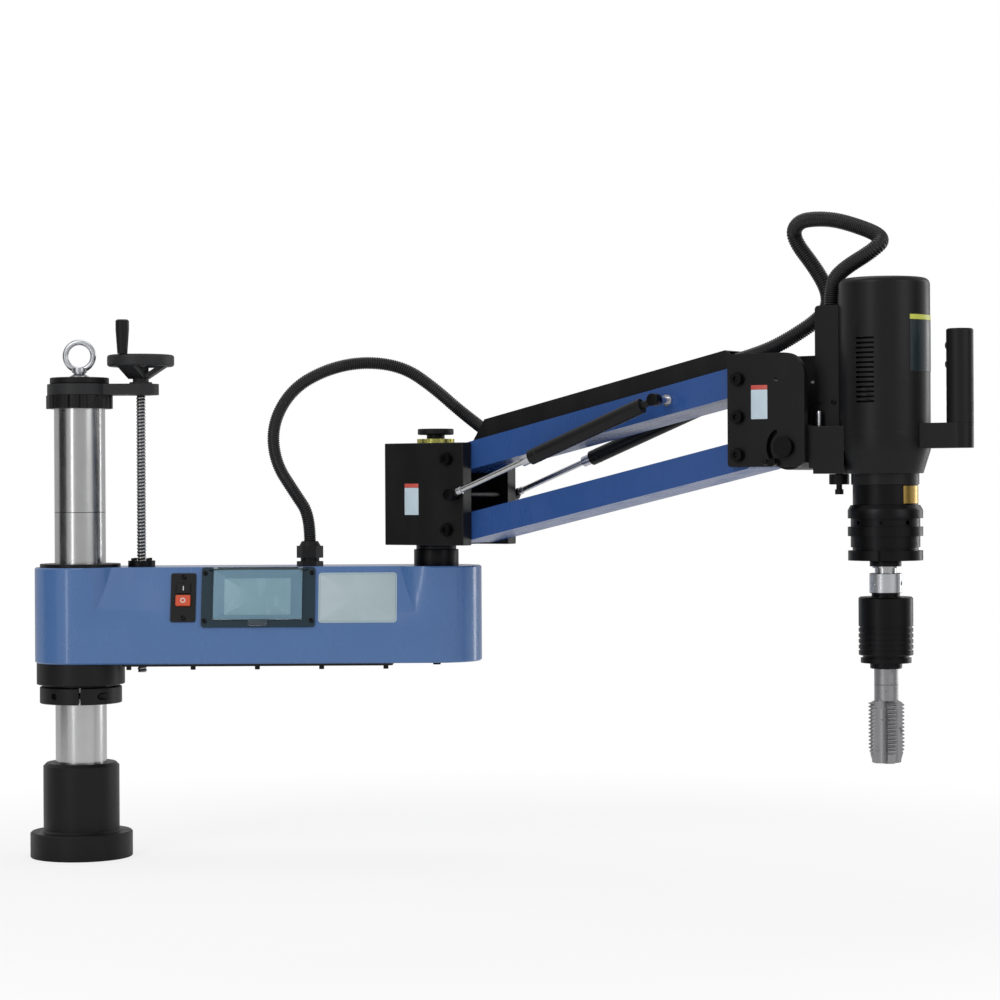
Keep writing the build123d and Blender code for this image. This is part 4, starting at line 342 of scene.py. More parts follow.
def clean(mesh):
    """Merges points that coincide and turns the faces outwards."""
    form = bmesh.new()
    form.from_mesh(mesh)
    bmesh.ops.remove_doubles(form, verts=form.verts, dist=1e-6)
    bmesh.ops.recalc_face_normals(form, faces=form.faces)
    form.to_mesh(mesh)
    form.free()
    return mesh


def piece(name, body, slot, shapes, stands_for=()):
    """One object out of shapes that are already in metres."""
    points, faces, start = [], [], 0
    for some, parts in shapes:
        points.append(some)
        faces += [row for part in parts for row in (part + start).tolist()]
        start += len(some)
    mesh = bpy.data.meshes.new(name)
    mesh.from_pydata(np.vstack(points).tolist(), [], faces)
    made = finished(name, clean(mesh), body, finish(slot))
    if stands_for:
        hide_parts(*stands_for)
    return made


def body_of(node):
    return NODES[node]["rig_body"]


def rounded_copy(node, slot, width):
    """A merged copy of a node, with flat neighbours joined and its sharp edges rounded."""
    source = NODES[node].data
    points = np.empty(3 * len(source.vertices))
    source.vertices.foreach_get("co", points)
    corners = np.empty(len(source.loops), int)
    source.loops.foreach_get("vertex_index", corners)
    mesh = bpy.data.meshes.new(node + "_finished")
    mesh.from_pydata(points.reshape(-1, 3).tolist(), [], corners.reshape(-1, 3).tolist())
    form = bmesh.new()
    form.from_mesh(mesh)
    bmesh.ops.remove_doubles(form, verts=form.verts, dist=2e-6)
    if width:
        bmesh.ops.dissolve_limit(form, angle_limit=radians(0.4), verts=form.verts, edges=form.edges)
    form.to_mesh(mesh)
    form.free()
    made = finished(node + "_finished", mesh, body_of(node), finish(slot))
    if width:
        edge = made.modifiers.new("Rounded edges", "BEVEL")
        edge.width = width * MM
        edge.segments = 2
        edge.limit_method = "ANGLE"
        edge.angle_limit = radians(30)
        edge.harden_normals = True
        edge.miter_outer = "MITER_ARC"
    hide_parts(node)
    return made


# ---- node groups and materials

# materials already made, by the finish that each belongs to
MADE = {}
# how a place is stretched for lines that run round Z
ROUND_LINES = (0.03, 0.03, 1.0)


def node(tree, kind, settings=(), inputs=()):
    """A shader node with its settings, and inputs given as values or as other nodes' sockets."""
    made = tree.nodes.new(kind)
    for key, value in dict(settings).items():
        setattr(made, key, value)
    for key, value in dict(inputs).items():
        if isinstance(value, bpy.types.NodeSocket):
            tree.links.new(value, made.inputs[key])
        else:
            made.inputs[key].default_value = value
    return made


def maths(tree, operation, *values, clamp=False):
    inputs = dict(enumerate(values))
    return node(tree, "ShaderNodeMath", {"operation": operation, "use_clamp": clamp}, inputs).outputs[0]


def noise(tree, vector, size, detail=2.0, roughness=0.5):
    """Noise whose grains are about the given size across, in metres."""
    scale = maths(tree, "DIVIDE", 1.0, size) if isinstance(size, bpy.types.NodeSocket) else 1 / size
    inputs = {"Vector": vector, "Scale": scale, "Detail": detail, "Roughness": roughness}
    return node(tree, "ShaderNodeTexNoise", {}, inputs).outputs["Fac"]


def mixed(tree, factor, first, second):
    inputs = {0: factor, 6: first, 7: second}
    return node(tree, "ShaderNodeMix", {"data_type": "RGBA"}, inputs).outputs[2]


def group(name, inputs, outputs, fill):
    """A node group with named sockets; fill makes its nodes and returns its outputs by name."""
    if name in bpy.data.node_groups:
        return bpy.data.node_groups[name]
    tree = bpy.data.node_groups.new(name, "ShaderNodeTree")
    for label, kind, value in inputs:
        socket = tree.interface.new_socket(label, in_out="INPUT", socket_type="NodeSocket" + kind)
        socket.default_value = value
    for label, kind in outputs:
        tree.interface.new_socket(label, in_out="OUTPUT", socket_type="NodeSocket" + kind)
    entry, leave = tree.nodes.new("NodeGroupInput"), tree.nodes.new("NodeGroupOutput")
    for label, socket in fill(tree, entry.outputs).items():
        tree.links.new(socket, leave.inputs[label])
    return tree


def object_place(tree):
    return node(tree, "ShaderNodeTexCoord").outputs["Object"]


def film_waves():
    """Waves of a sprayed film: two sizes of noise, as a height in millimetres."""

    def fill(tree, given):
        place = object_place(tree)
        wide = noise(tree, place, given["Size"], 1.0)
        fine = noise(tree, place, maths(tree, "MULTIPLY", given["Size"], 0.27), 2.0)
        both = maths(tree, "ADD", wide, maths(tree, "MULTIPLY", fine, 0.35))
        return {"Height": maths(tree, "MULTIPLY", both, given["Depth"])}

    return group("Film waves", [("Size", "Float", 0.004), ("Depth", "Float", 0.02)],
                 [("Height", "Float")], fill)


def tone_drift():
    """A colour that gets a little lighter and darker in soft patches."""

    def fill(tree, given):
        place = object_place(tree)
        patch = noise(tree, place, given["Size"], 4.0, 0.6)
        swing = maths(tree, "MULTIPLY", maths(tree, "SUBTRACT", patch, 0.5), given["Amount"])
        value = maths(tree, "ADD", swing, 1.0)
        made = node(tree, "ShaderNodeHueSaturation", {}, {"Value": value, "Color": given["Colour"]})
        return {"Colour": made.outputs[0]}

    return group("Tone drift",
                 [("Colour", "Color", (0.5, 0.5, 0.5, 1)), ("Amount", "Float", 0.2),
                  ("Size", "Float", 0.05)],
                 [("Colour", "Color")], fill)


def handling_marks():
    """Gloss that is dulled in smears and wiped streaks."""

    def fill(tree, given):
        place = object_place(tree)
        stretched = node(tree, "ShaderNodeMapping", {}, {"Vector": place, "Scale": (1, 1, 0.35)})
        smear = noise(tree, stretched.outputs[0], given["Size"], 5.0, 0.62)
        spread = node(tree, "ShaderNodeMapRange", {"interpolation_type": "SMOOTHSTEP"},
                      {"Value": smear, "From Min": 0.42, "From Max": 0.72}).outputs[0]
        more = maths(tree, "MULTIPLY", spread, given["Amount"])
        return {"Roughness": maths(tree, "ADD", given["Roughness"], more, clamp=True)}

    return group("Handling marks",
                 [("Roughness", "Float", 0.4), ("Amount", "Float", 0.1), ("Size", "Float", 0.03)],
                 [("Roughness", "Float")], fill)


def settled_dust():
    """Pale, dull dust on what faces up: the normal's Z, broken up by noise."""

    def fill(tree, given):
        up = node(tree, "ShaderNodeSeparateXYZ", {},
                  {0: node(tree, "ShaderNodeNewGeometry").outputs["Normal"]}).outputs["Z"]
        flat = maths(tree, "POWER", maths(tree, "MAXIMUM", up, 0.0), 3.0)
        grain = noise(tree, object_place(tree), 0.006, 6.0, 0.7)
        patchy = maths(tree, "MULTIPLY", flat, grain)
        amount = maths(tree, "MULTIPLY", patchy, given["Amount"], clamp=True)
        dull = maths(tree, "MULTIPLY", amount, 0.5)
        return {
            "Colour": mixed(tree, amount, given["Colour"], (0.30, 0.29, 0.27, 1)),
            "Roughness": maths(tree, "ADD", given["Roughness"], dull, clamp=True),
        }

    return group("Settled dust",
                 [("Colour", "Color", (0.5, 0.5, 0.5, 1)), ("Roughness", "Float", 0.4),
                  ("Amount", "Float", 0.1)],
                 [("Colour", "Color"), ("Roughness", "Float")], fill)


def worn_edges():
    """Where a surface turns sharply within the radius, broken up by noise: 0 in the flat, 1 worn."""

    def fill(tree, given):
        true = node(tree, "ShaderNodeNewGeometry").outputs["Normal"]
        soft = node(tree, "ShaderNodeBevel", {"samples": 4}, {"Radius": given["Radius"]}).outputs[0]
        even = node(tree, "ShaderNodeVectorMath", {"operation": "DOT_PRODUCT"}, {0: true, 1: soft})
        turn = maths(tree, "SUBTRACT", 1.0, even.outputs["Value"])
        patch = noise(tree, object_place(tree), 0.008, 5.0, 0.7)
        broken = maths(tree, "MULTIPLY", turn, maths(tree, "SUBTRACT", patch, 0.38))
        return {"Mask": maths(tree, "MULTIPLY", broken, given["Strength"], clamp=True)}

    return group("Worn edges", [("Radius", "Float", 0.001), ("Strength", "Float", 10.0)],
                 [("Mask", "Float")], fill)


def machining_lines():
    """Fine lines across one direction: noise on a place that is stretched the other ways."""

    def fill(tree, given):
        drawn = node(tree, "ShaderNodeMapping", {"vector_type": "POINT"},
                     {"Vector": object_place(tree), "Scale": given["Stretch"]}).outputs[0]
        fine = noise(tree, drawn, given["Size"], 3.0, 0.7)
        return {"Lines": fine, "Height": maths(tree, "MULTIPLY", fine, given["Depth"])}

    return group("Machining lines",
                 [("Stretch", "Vector", (0.02, 0.02, 1.0)), ("Size", "Float", 0.0004),
                  ("Depth", "Float", 0.004)],
                 [("Lines", "Float"), ("Height", "Float")], fill)


def moulded_grain():
    """Grain of a moulded part: cell edges and fine noise, as a height in millimetres."""

    def fill(tree, given):
        place = object_place(tree)
        scale = maths(tree, "DIVIDE", 1.0, given["Size"])
        cells = node(tree, "ShaderNodeTexVoronoi", {"feature": "SMOOTH_F1"},
                     {"Vector": place, "Scale": scale}).outputs["Distance"]
        fine = noise(tree, place, maths(tree, "MULTIPLY", given["Size"], 0.4), 2.0)
        both = maths(tree, "ADD", cells, maths(tree, "MULTIPLY", fine, 0.5))
        return {"Height": maths(tree, "MULTIPLY", both, given["Depth"])}

    return group("Moulded grain", [("Size", "Float", 0.0007), ("Depth", "Float", 0.02)],
                 [("Height", "Float")], fill)


def oil_spots():
    """Dark spots of dried oil: noise whose peaks alone are kept."""

    def fill(tree, given):
        patch = noise(tree, object_place(tree), given["Size"], 3.0, 0.55)
        kept = node(tree, "ShaderNodeMapRange", {"interpolation_type": "SMOOTHSTEP"},
                    {"Value": patch, "From Min": 0.64, "From Max": 0.70}).outputs[0]
        return {"Mask": kept}

    return group("Oil spots", [("Size", "Float", 0.006)], [("Mask", "Float")], fill)


def painted_root_shade():
    """Painted shade in a thread's roots, between two radii round an upright axis: 1 at the root, 0 at the
    crest.
    """

    def fill(tree, given):
        flat = node(tree, "ShaderNodeVectorMath", {"operation": "MULTIPLY"},
                    {0: object_place(tree), 1: (1, 1, 0)}).outputs[0]
        away = node(tree, "ShaderNodeVectorMath", {"operation": "DISTANCE"},
                    {0: flat, 1: given["Axis"]}).outputs["Value"]
        kept = node(tree, "ShaderNodeMapRange", {"interpolation_type": "SMOOTHSTEP"},
                    {"Value": away, "From Min": given["Root"], "From Max": given["Crest"],
                     "To Min": 1.0, "To Max": 0.0}).outputs[0]
        return {"Mask": kept}

    wanted = [("Axis", "Vector", (0, 0, 0)), ("Root", "Float", 0.006), ("Crest", "Float", 0.007)]
    return group("Packed grease", wanted, [("Mask", "Float")], fill)


def placed(tree, made, **inputs):
    """A group placed in a material, with inputs by name."""
    return node(tree, "ShaderNodeGroup", {"node_tree": made}, inputs).outputs


def blank(name, constants):
    """A material with one principled shader whose plain values are set on its own sockets."""
    material = bpy.data.materials.new(name)
    material.use_nodes = True
    tree = material.node_tree
    shader = tree.nodes["Principled BSDF"]
    for key, value in constants.items():
        shader.inputs[key].default_value = value
    return material, tree, shader


def bumped(tree, shader, height):
    """Feeds a height in millimetres to the shader's normal."""
    made = node(tree, "ShaderNodeBump", {}, {"Height": height, "Distance": MM, "Strength": 1.0})
    tree.links.new(made.outputs[0], shader.inputs["Normal"])


def painted(name, tint, rough, waves, depth, dust, coat=0.0, wear=0.0, shine=0.5):
    """Paint: patches of tone, dust on top, smears in the gloss, waves in the film, worn edges."""
    constants = {"Coat Weight": coat, "Coat Roughness": 0.08, "IOR": 1.5, "Specular IOR Level": shine}
    material, tree, shader = blank(name, constants)
    tone = placed(tree, tone_drift(), Colour=tint, Amount=0.10, Size=0.06)["Colour"]
    marks = placed(tree, handling_marks(), Roughness=rough, Amount=0.12, Size=0.035)["Roughness"]
    dusty = placed(tree, settled_dust(), Colour=tone, Roughness=marks, Amount=dust)
    base = dusty["Colour"]
    if wear:
        mask = placed(tree, worn_edges(), Radius=0.0012, Strength=wear)["Mask"]
        base = mixed(tree, mask, base, (0.16, 0.16, 0.165, 1))
    tree.links.new(base, shader.inputs["Base Color"])
    tree.links.new(dusty["Roughness"], shader.inputs["Roughness"])
    bumped(tree, shader, placed(tree, film_waves(), Size=waves, Depth=depth)["Height"])
    return material


def metal(name, tint, rough, size, depth, stretch=ROUND_LINES, smear=0.1, drift=0.10, stains=0.0,
          grease=None):
    """Machined metal: lines in its colour, gloss and surface, soft patches, smears and stains."""
    material, tree, shader = blank(name, {"Metallic": 1.0})
    cut = placed(tree, machining_lines(), Stretch=stretch, Size=size, Depth=depth)
    tone = placed(tree, tone_drift(), Colour=tint, Amount=drift, Size=0.02)["Colour"]
    darker = maths(tree, "MULTIPLY", cut["Lines"], 0.12)
    base = mixed(tree, darker, tone, (0.05, 0.05, 0.055, 1))
    if stains:
        spots = placed(tree, oil_spots(), Size=0.006)["Mask"]
        base = mixed(tree, maths(tree, "MULTIPLY", spots, stains), base, (0.012, 0.012, 0.012, 1))
    # painted shade: the thread's roots are darkened towards black, standing in for the shadow in the
    # grooves
    if grease:
        axis, root, crest = grease
        root_shadow = placed(tree, painted_root_shade(), Axis=axis, Root=root, Crest=crest)["Mask"]
        base = mixed(tree, maths(tree, "MULTIPLY", root_shadow, 0.92), base, (0.01, 0.01, 0.01, 1))
    tree.links.new(base, shader.inputs["Base Color"])
    streaked = maths(tree, "MULTIPLY_ADD", cut["Lines"], 0.12, rough - 0.06)
    marks = placed(tree, handling_marks(), Roughness=streaked, Amount=smear, Size=0.025)["Roughness"]
    tree.links.new(marks, shader.inputs["Roughness"])
    bumped(tree, shader, cut["Height"])
    return material


def moulded(name, tint, rough, size, depth, dust, shine=0.5):
    """Moulded plastic or rubber: grain, a little dust, and smears in the gloss."""
    material, tree, shader = blank(name, {"IOR": 1.47, "Specular IOR Level": shine})
    marks = placed(tree, handling_marks(), Roughness=rough, Amount=0.1, Size=0.02)["Roughness"]
    tone = placed(tree, tone_drift(), Colour=tint, Amount=0.15, Size=0.03)["Colour"]
    dusty = placed(tree, settled_dust(), Colour=tone, Roughness=marks, Amount=dust)
    tree.links.new(dusty["Colour"], shader.inputs["Base Color"])
    tree.links.new(dusty["Roughness"], shader.inputs["Roughness"])
    bumped(tree, shader, placed(tree, moulded_grain(), Size=size, Depth=depth)["Height"])
    return material


def clear(name):
    """The clear flap: glass-like plastic with faint smears."""
    constants = {"Base Color": (0.86, 0.93, 0.96, 1), "Transmission Weight": 1.0, "IOR": 1.4}
    material, tree, shader = blank(name, constants)
    marks = placed(tree, handling_marks(), Roughness=0.03, Amount=0.12, Size=0.03)["Roughness"]
    tree.links.new(marks, shader.inputs["Roughness"])
    return material


PLATE = (moulded, dict(rough=0.35, size=0.0009, depth=0.002, dust=0.02))
SPECS = {
    "casting_blue": (painted, dict(rough=0.24, waves=0.005, depth=0.008, coat=0.4, dust=0.03)),
    "link_blue": (painted, dict(rough=0.26, waves=0.005, depth=0.006, coat=0.12, dust=0.02,
                                shine=0.35)),
    "black_enamel": (painted, dict(rough=0.36, waves=0.0025, depth=0.012, dust=0.02, wear=2.0,
                                   shine=0.24)),
    "dark_grey_paint": (painted, dict(rough=0.45, waves=0.0012, depth=0.03, dust=0.03, wear=2.5,
                                      shine=0.3)),
    "ground_steel": (metal, dict(rough=0.22, size=0.0005, depth=0.0012, smear=0.05)),
    # the lead screw's thread roots get painted shade, darker towards the axis
    "screw_steel": (metal, dict(rough=0.30, size=0.0006, depth=0.002,
                                grease=(tuple(LEAD_SCREW.translation), 0.0060, 0.0065))),
    "bright_zinc": (metal, dict(rough=0.30, stretch=(1, 1, 1), size=0.0012, depth=0.003)),
    "yellow_zinc": (metal, dict(rough=0.32, stretch=(1, 1, 1), size=0.003, depth=0.003, drift=0.5)),
    "black_oxide": (metal, dict(rough=0.34, size=0.0005, depth=0.003)),
    "tool_steel": (metal, dict(rough=0.33, size=0.0004, depth=0.003, stains=0.6)),
    "brass": (metal, dict(rough=0.28, size=0.0006, depth=0.003)),
    "aluminium": (metal, dict(rough=0.34, size=0.0005, depth=0.003)),
    "core_varnish": (metal, dict(rough=0.6, stretch=(0.1, 0.1, 1), size=0.0006, depth=0.02)),
    "black_plastic": (moulded, dict(rough=0.42, size=0.0008, depth=0.015, dust=0.03, shine=0.24)),
    "hose_plastic": (moulded, dict(rough=0.34, size=0.0012, depth=0.006, dust=0.03, shine=0.4)),
    "panel_plastic": (moulded, dict(rough=0.36, size=0.0008, depth=0.008, dust=0.02, shine=0.3)),
    "stop_red": (moulded, dict(rough=0.33, size=0.0006, depth=0.004, dust=0.02)),
    **dict.fromkeys(("label_grey", "label_pale", "label_red", "label_yellow"), PLATE),
    "label_dark": (moulded, dict(rough=0.30, size=0.0009, depth=0.002, dust=0.02)),
    "screen_rim": (moulded, dict(rough=0.30, size=0.0009, depth=0.002, dust=0.01)),
    "screen": (moulded, dict(rough=0.22, size=0.0009, depth=0.001, dust=0.01)),
    "mark_white": (moulded, dict(rough=0.40, size=0.0006, depth=0.002, dust=0.01)),
}


def finish(slot):
    """The material of a finish, made when it is first asked for."""
    if slot not in MADE:
        if slot == "clear_plastic":
            MADE[slot] = clear(slot)
        else:
            make, values = SPECS[slot]
            settings = bpy.context.scene.tapping_finishes
            MADE[slot] = make(slot, tuple(getattr(settings, slot)), **values)
    return MADE[slot]


# ---- hoses

HOSE_ARM_ROUTE = np.array([
    (344.5, 0, 470), (344.5, 0, 508.5), (323, -1, 541), (293, -7, 589), (290, -12, 646),
    (320, -14, 698), (372, -18, 727), (430, -22, 738), (488, -25, 729), (532, -36, 698),
    (574.85, -27.55, 659.59), (611.13, -52.02, 631.50),
])
HOSE_HEAD_ROUTE = np.array([
    (492.64, 0, 718.63), (537.59, 0, 728.43), (581, 12, 746), (634, 36, 784), (640, 37, 812),
    (621, 38, 846), (584, 33, 894), (601, 19, 914), (638, 10, 915), (671, 17, 910), (734, 13, 886),
    (736, -10, 868), (677, -8, 839), (662, 0, 819), (662, 0, 793),
])


def in_metres(points, place=WORLD):
    """Points in millimetres in a frame, as points of the scene."""
    matrix = np.array(place)
    return np.atleast_2d(points) * MM @ matrix[:3, :3].T + matrix[:3, 3]


def smooth_line(name, points):
    """The points that Blender gives for a spline of order 3 over the route's points."""
    curve = bpy.data.curves.new(name, "CURVE")
    curve.dimensions = "3D"
    curve.resolution_u = 32
    spline = curve.splines.new("NURBS")
    spline.points.add(len(points) - 1)
    spline.points.foreach_set("co", np.hstack([points, np.ones((len(points), 1))]).ravel())
    spline.order_u = 3
    spline.use_endpoint_u = True
    holder = bpy.data.objects.new(name, curve)
    line = bpy.data.meshes.new_from_object(holder)
    read = np.empty(3 * len(line.vertices))
    line.vertices.foreach_get("co", read)
    bpy.data.objects.remove(holder)
    bpy.data.curves.remove(curve)
    bpy.data.meshes.remove(line)
    return read.reshape(-1, 3)


def distances(line):
    """How far along the line each of its points is."""
    return np.concatenate([[0], np.cumsum(np.linalg.norm(np.diff(line, axis=0), axis=1))])


def ribbed_hose(line, side, radius, depth, pitch, columns, phase):
    """A corrugated tube along a line.

    At distance s the middle is read off the line and the heading is its slope. The ring's first
    axis is the side direction less its part along the heading, the second is square to both, and
    the radius is R - depth (1 - w), where w = sqrt(0.5 - 0.5 cos(2 pi (s / pitch + phase))).
    """
    run = distances(line)
    s = np.linspace(0, run[-1], int(run[-1] / pitch * 7))
    middle = np.stack([np.interp(s, run, line[:, k]) for k in range(3)], -1)
    heading = np.gradient(middle, axis=0)
    heading /= np.linalg.norm(heading, axis=1, keepdims=True)
    first = side - heading * (heading @ side)[:, None]
    first /= np.linalg.norm(first, axis=1, keepdims=True)
    second = np.cross(heading, first)
    wave = np.sqrt(0.5 - 0.5 * np.cos(2 * pi * (s / pitch + phase)))
    r = (radius - depth * (1 - wave))[:, None, None]
    a = round_angles(columns)[None, :, None]
    rings = middle[:, None] + r * (np.cos(a) * first[:, None] + np.sin(a) * second[:, None])
    return rings_to_shape(rings)


def hose_half(name, node_name, line, side, radius, phase):
    """Half of a hose, which runs between two bodies but is made as one fixed mesh; gives back its length.
    """
    sizes = bpy.context.scene.tapping_hoses
    shape = ribbed_hose(line, side, radius, sizes.rib_depth, sizes.rib_pitch, sizes.columns, phase)
    made = piece(name, None, "hose_plastic", [shape])
    made.data.set_sharp_from_angle(angle=radians(80))
    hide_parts(node_name)
    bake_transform(made)
    length = distances(line)[-1]
    return length


def split_at(line, point):
    """The line as far as its point nearest to the given one, and from there on."""
    k = int(np.linalg.norm(line - point, axis=1).argmin())
    return line[: k + 1], line[k:]


class TAPPING_OT_hoses(Operator):
    """Build the two corrugated hoses, each as two halves that meet on the body between its ends"""

    bl_idname = "tapping.hoses"
    bl_label = "Hoses"

    def execute(self, context):
        sizes = context.scene.tapping_hoses
        across = np.array(SECOND_ARM)[:3, 1]
        pitch = sizes.rib_pitch

        line = smooth_line("hose_arm_line", in_metres(HOSE_ARM_ROUTE))
        low, high = split_at(line, np.array((0.524, -0.034, 0.705)))
        run = hose_half("hose_arm_lower", "hose_arm", low, np.array((0, 1, 0)), sizes.arm_radius,
                        0)
        hose_half("hose_arm_upper", "hose_arm", high, np.array((0, 1, 0)), sizes.arm_radius,
                  run / pitch)

        line = smooth_line("hose_head_line", in_metres(HOSE_HEAD_ROUTE, SECOND_ARM))
        ends = in_metres([(592, 26, 904), (545, 0, 730), (600, 20, 755), (612, 17, 914), (660, 14, 912)],
                         SECOND_ARM)
        low, high = split_at(line, ends[0])
        run = hose_half("hose_head_lower", "hose_head", low, across, sizes.head_radius,
                        0)
        hose_half("hose_head_upper", "hose_head", high, across, sizes.head_radius,
                  run / pitch)
        return {"FINISHED"}


# ---- threads, in millimetres

SCREW_LOW, SCREW_HIGH = 275, 689.4
SCREW_ROOT, SCREW_CREST = 5.9, 7
TAP_LOW, TAP_HIGH = 176, 282
TAP_ROOT, TAP_CREST = 21.3, 24
TAP_THREAD_END = 257
TAP_TAPER_START, TAP_TAPER_LENGTH = 18.5, 20
TAP_TIP, TAP_TIP_LENGTH = 17, 3
FLUTE_RADIUS, FLUTE_TOP, FLUTE_RUN_OUT = 11.5, 275, 26
FLUTE_TURN = radians(0.5)
SHANK_RADIUS, SHANK_TOP = 16, 350


def trapezoid(within, root, crest):
    """Radius within a pitch: root, a flank from 0.12 to 0.36, crest to 0.64, and a flank to 0.88."""
    rise = np.clip((within - 0.12) / 0.24, 0, 1) - np.clip((within - 0.64) / 0.24, 0, 1)
    return root + (crest - root) * rise


class TAPPING_OT_threads(Operator):
    """Build the lead screw and the tap with their helical threads"""

    bl_idname = "tapping.threads"
    bl_label = "Threads"

    def execute(self, context):
        sizes = context.scene.tapping_threads

        def screw_radius(within, a, z):
            fade = np.clip(np.minimum(z - SCREW_LOW, SCREW_HIGH - z) / 2, 0, 1)
            return SCREW_ROOT + fade * (trapezoid(within, SCREW_ROOT, SCREW_CREST) - SCREW_ROOT)

        screw = helical(screw_radius, sizes.screw_pitch / MM, SCREW_LOW, SCREW_HIGH, columns=36,
                        steps=10)
        journal = turned([(0, 689), (6, 689), (6, 733), (0, 733)], by=0.3, columns=48)
        nut = hex_prism(15.6, 732.8, 738.8)
        piece("lead_screw_thread", "lead_screw", "screw_steel",
              [set_down(shape, LEAD_SCREW) for shape in (screw, journal, nut)], ["lead_screw"])

        flutes = sizes.flutes

        def tap_radius(within, a, z):
            rise = np.clip((z - TAP_LOW) / TAP_TAPER_LENGTH, 0, 1)
            taper = TAP_TAPER_START + rise * (TAP_CREST - TAP_TAPER_START)
            thread = np.minimum(trapezoid(within, TAP_ROOT, TAP_CREST), np.maximum(taper, 19.5))
            run_out = np.clip((TAP_THREAD_END + 3 - z) / 3, 0, 1)
            neck = SHANK_RADIUS + (TAP_ROOT - SHANK_RADIUS) * run_out
            thread = np.where(z > TAP_THREAD_END, neck, thread)
            away = (a - FLUTE_TURN + pi / flutes) % (2 * pi / flutes) - pi / flutes
            cut_radius = FLUTE_RADIUS * np.clip((FLUTE_TOP - z) / FLUTE_RUN_OUT, 0, 1) ** 0.5 + 0.01
            inside = cut_radius**2 - (TAP_CREST * np.sin(away)) ** 2
            flute = TAP_CREST * np.cos(away) - np.sqrt(np.maximum(inside, 0))
            thread = np.where(inside > 0, np.minimum(thread, flute), thread)
            tip = TAP_TIP + np.clip((z - TAP_LOW) / TAP_TIP_LENGTH, 0, 1) * 8
            return np.minimum(thread, tip)

        tap = helical(tap_radius, sizes.tap_pitch / MM, TAP_LOW, TAP_HIGH, columns=144, steps=14)
        low = TAP_HIGH - 1
        shank = turned([(0, low), (SHANK_RADIUS, low), (SHANK_RADIUS, SHANK_TOP), (0, SHANK_TOP)],
                       by=0, columns=144)
        piece("tap_thread", "spindle", "tool_steel",
              [set_down(shape, HEAD) for shape in (tap, shank)], ["tap"])
        return {"FINISHED"}


# ---- nodes with their edges rounded, and nodes that only get a finish

# node: (finish, width of the rounded edges in millimetres)
COPIES = {
    "base_stand": ("black_enamel", 0.6),
    "column": ("ground_steel", 0),
    "stop_collar": ("black_enamel", 0.4),
    "collar_screws": ("black_oxide", 0),
    "lock_ring": ("black_enamel", 0.5),
    "column_cap": ("black_plastic", 0.4),
    "lifting_eye": ("bright_zinc", 0),
    "screw_bracket": ("dark_grey_paint", 0.8),
    "handwheel": ("dark_grey_paint", 0),
    "crank_grip": ("black_plastic", 0),
    "thrust_bearing": ("black_enamel", 0.4),
    "arm_casting": ("casting_blue", 0.7),
    "wiper_ring": ("black_enamel", 0.6),
    "lift_nut": ("brass", 0.3),
    "arm_cover_plate": ("black_enamel", 0.4),
    "arm_screws": ("black_oxide", 0),
    "switch_plate": ("black_plastic", 0.3),
    "start_button": ("black_plastic", 0),
    "stop_button": ("stop_red", 0),
    "display_bezel": ("panel_plastic", 0.5),
    "display_cover": ("clear_plastic", 0),
    "cable_gland": ("black_plastic", 0.4),
    "pivot_shaft": ("ground_steel", 0),
    "elbow_block": ("black_enamel", 0.5),
    "bearing_cap": ("yellow_zinc", 0),
    "lock_knob": ("black_plastic", 0),
    "elbow_pins": ("black_oxide", 0.2),
    "upper_link": ("link_blue", 0.7),
    "lower_link": ("link_blue", 0.7),
    "upper_ball_studs": ("bright_zinc", 0),
    "spring_rods": ("ground_steel", 0),
    "spring_cylinders": ("black_enamel", 0),
    "link_cover": ("black_enamel", 0.4),
    "yoke_plates": ("black_enamel", 0.5),
    "yoke_pins": ("black_oxide", 0.2),
    "tilt_lock_lever": ("black_oxide", 0),
    "head_bracket": ("black_enamel", 0.8),
    "index_plunger": ("black_plastic", 0),
    "gear_case": ("black_enamel", 0.4),
    "motor_cover": ("black_enamel", 0),
    "adapter_body": ("black_oxide", 0),
    "clutch_housing": ("black_oxide", 0),
    "spindle": ("ground_steel", 0),
    "chuck_sleeve": ("bright_zinc", 0),
    "tap_holder": ("black_oxide", 0),
    "cable_duct": ("black_enamel", 0.5),
    "handle_bar": ("black_enamel", 0.8),
    "handle_grip": ("black_plastic", 0),
    "grip_buttons": ("black_plastic", 0),
}
INSIDE = {
    "column_bushes": "brass",
    "servo_drive": "aluminium",
    "pivot_bearings": "ground_steel",
    "motor_core": "core_varnish",
    "planet_gears": "ground_steel",
    "spindle_bearings": "ground_steel",
}


class TAPPING_OT_castings(Operator):
    """Round the edges of the castings and turned parts, and give each its finish"""

    bl_idname = "tapping.castings"
    bl_label = "Castings and turned parts"

    def execute(self, context):
        for name, (slot, width) in COPIES.items():
            rounded_copy(name, slot, width)
        for name, slot in INSIDE.items():
            for place in NODES[name].material_slots:
                place.material = finish(slot)
        return {"FINISHED"}


# ---- bare plates, screen and switch marks

# middle of the bare plate beside the display, in the panel's frame
INFO = (418.6, 45.8, 0)


def curved_plate(radius, thick, middle, half, low, high, columns=24):
    """A plate bent round Z: its section, softened outside, turned from end angle to end angle."""
    outer, edge = radius + thick, min(0.3, 0.6 * thick)
    section = np.array([(radius, low), (outer - edge, low), (outer, low + edge), (outer, high - edge),
                        (outer - edge, high), (radius, high)])
    a = np.radians(np.linspace(middle - half, middle + half, columns))[:, None]
    r, z = section[:, 0][None, :], section[:, 1][None, :]
    return rings_to_shape(np.stack([r * np.cos(a), r * np.sin(a), z + 0 * a], -1))


def facing(frame_of, x, side, z):
    """A place on an upright face of a frame, its Y up and its Z out of the near side."""
    move = Matrix.Translation((x * MM, side * MM, z * MM))
    return frame_of @ move @ Matrix.Rotation(radians(90), 4, "X")


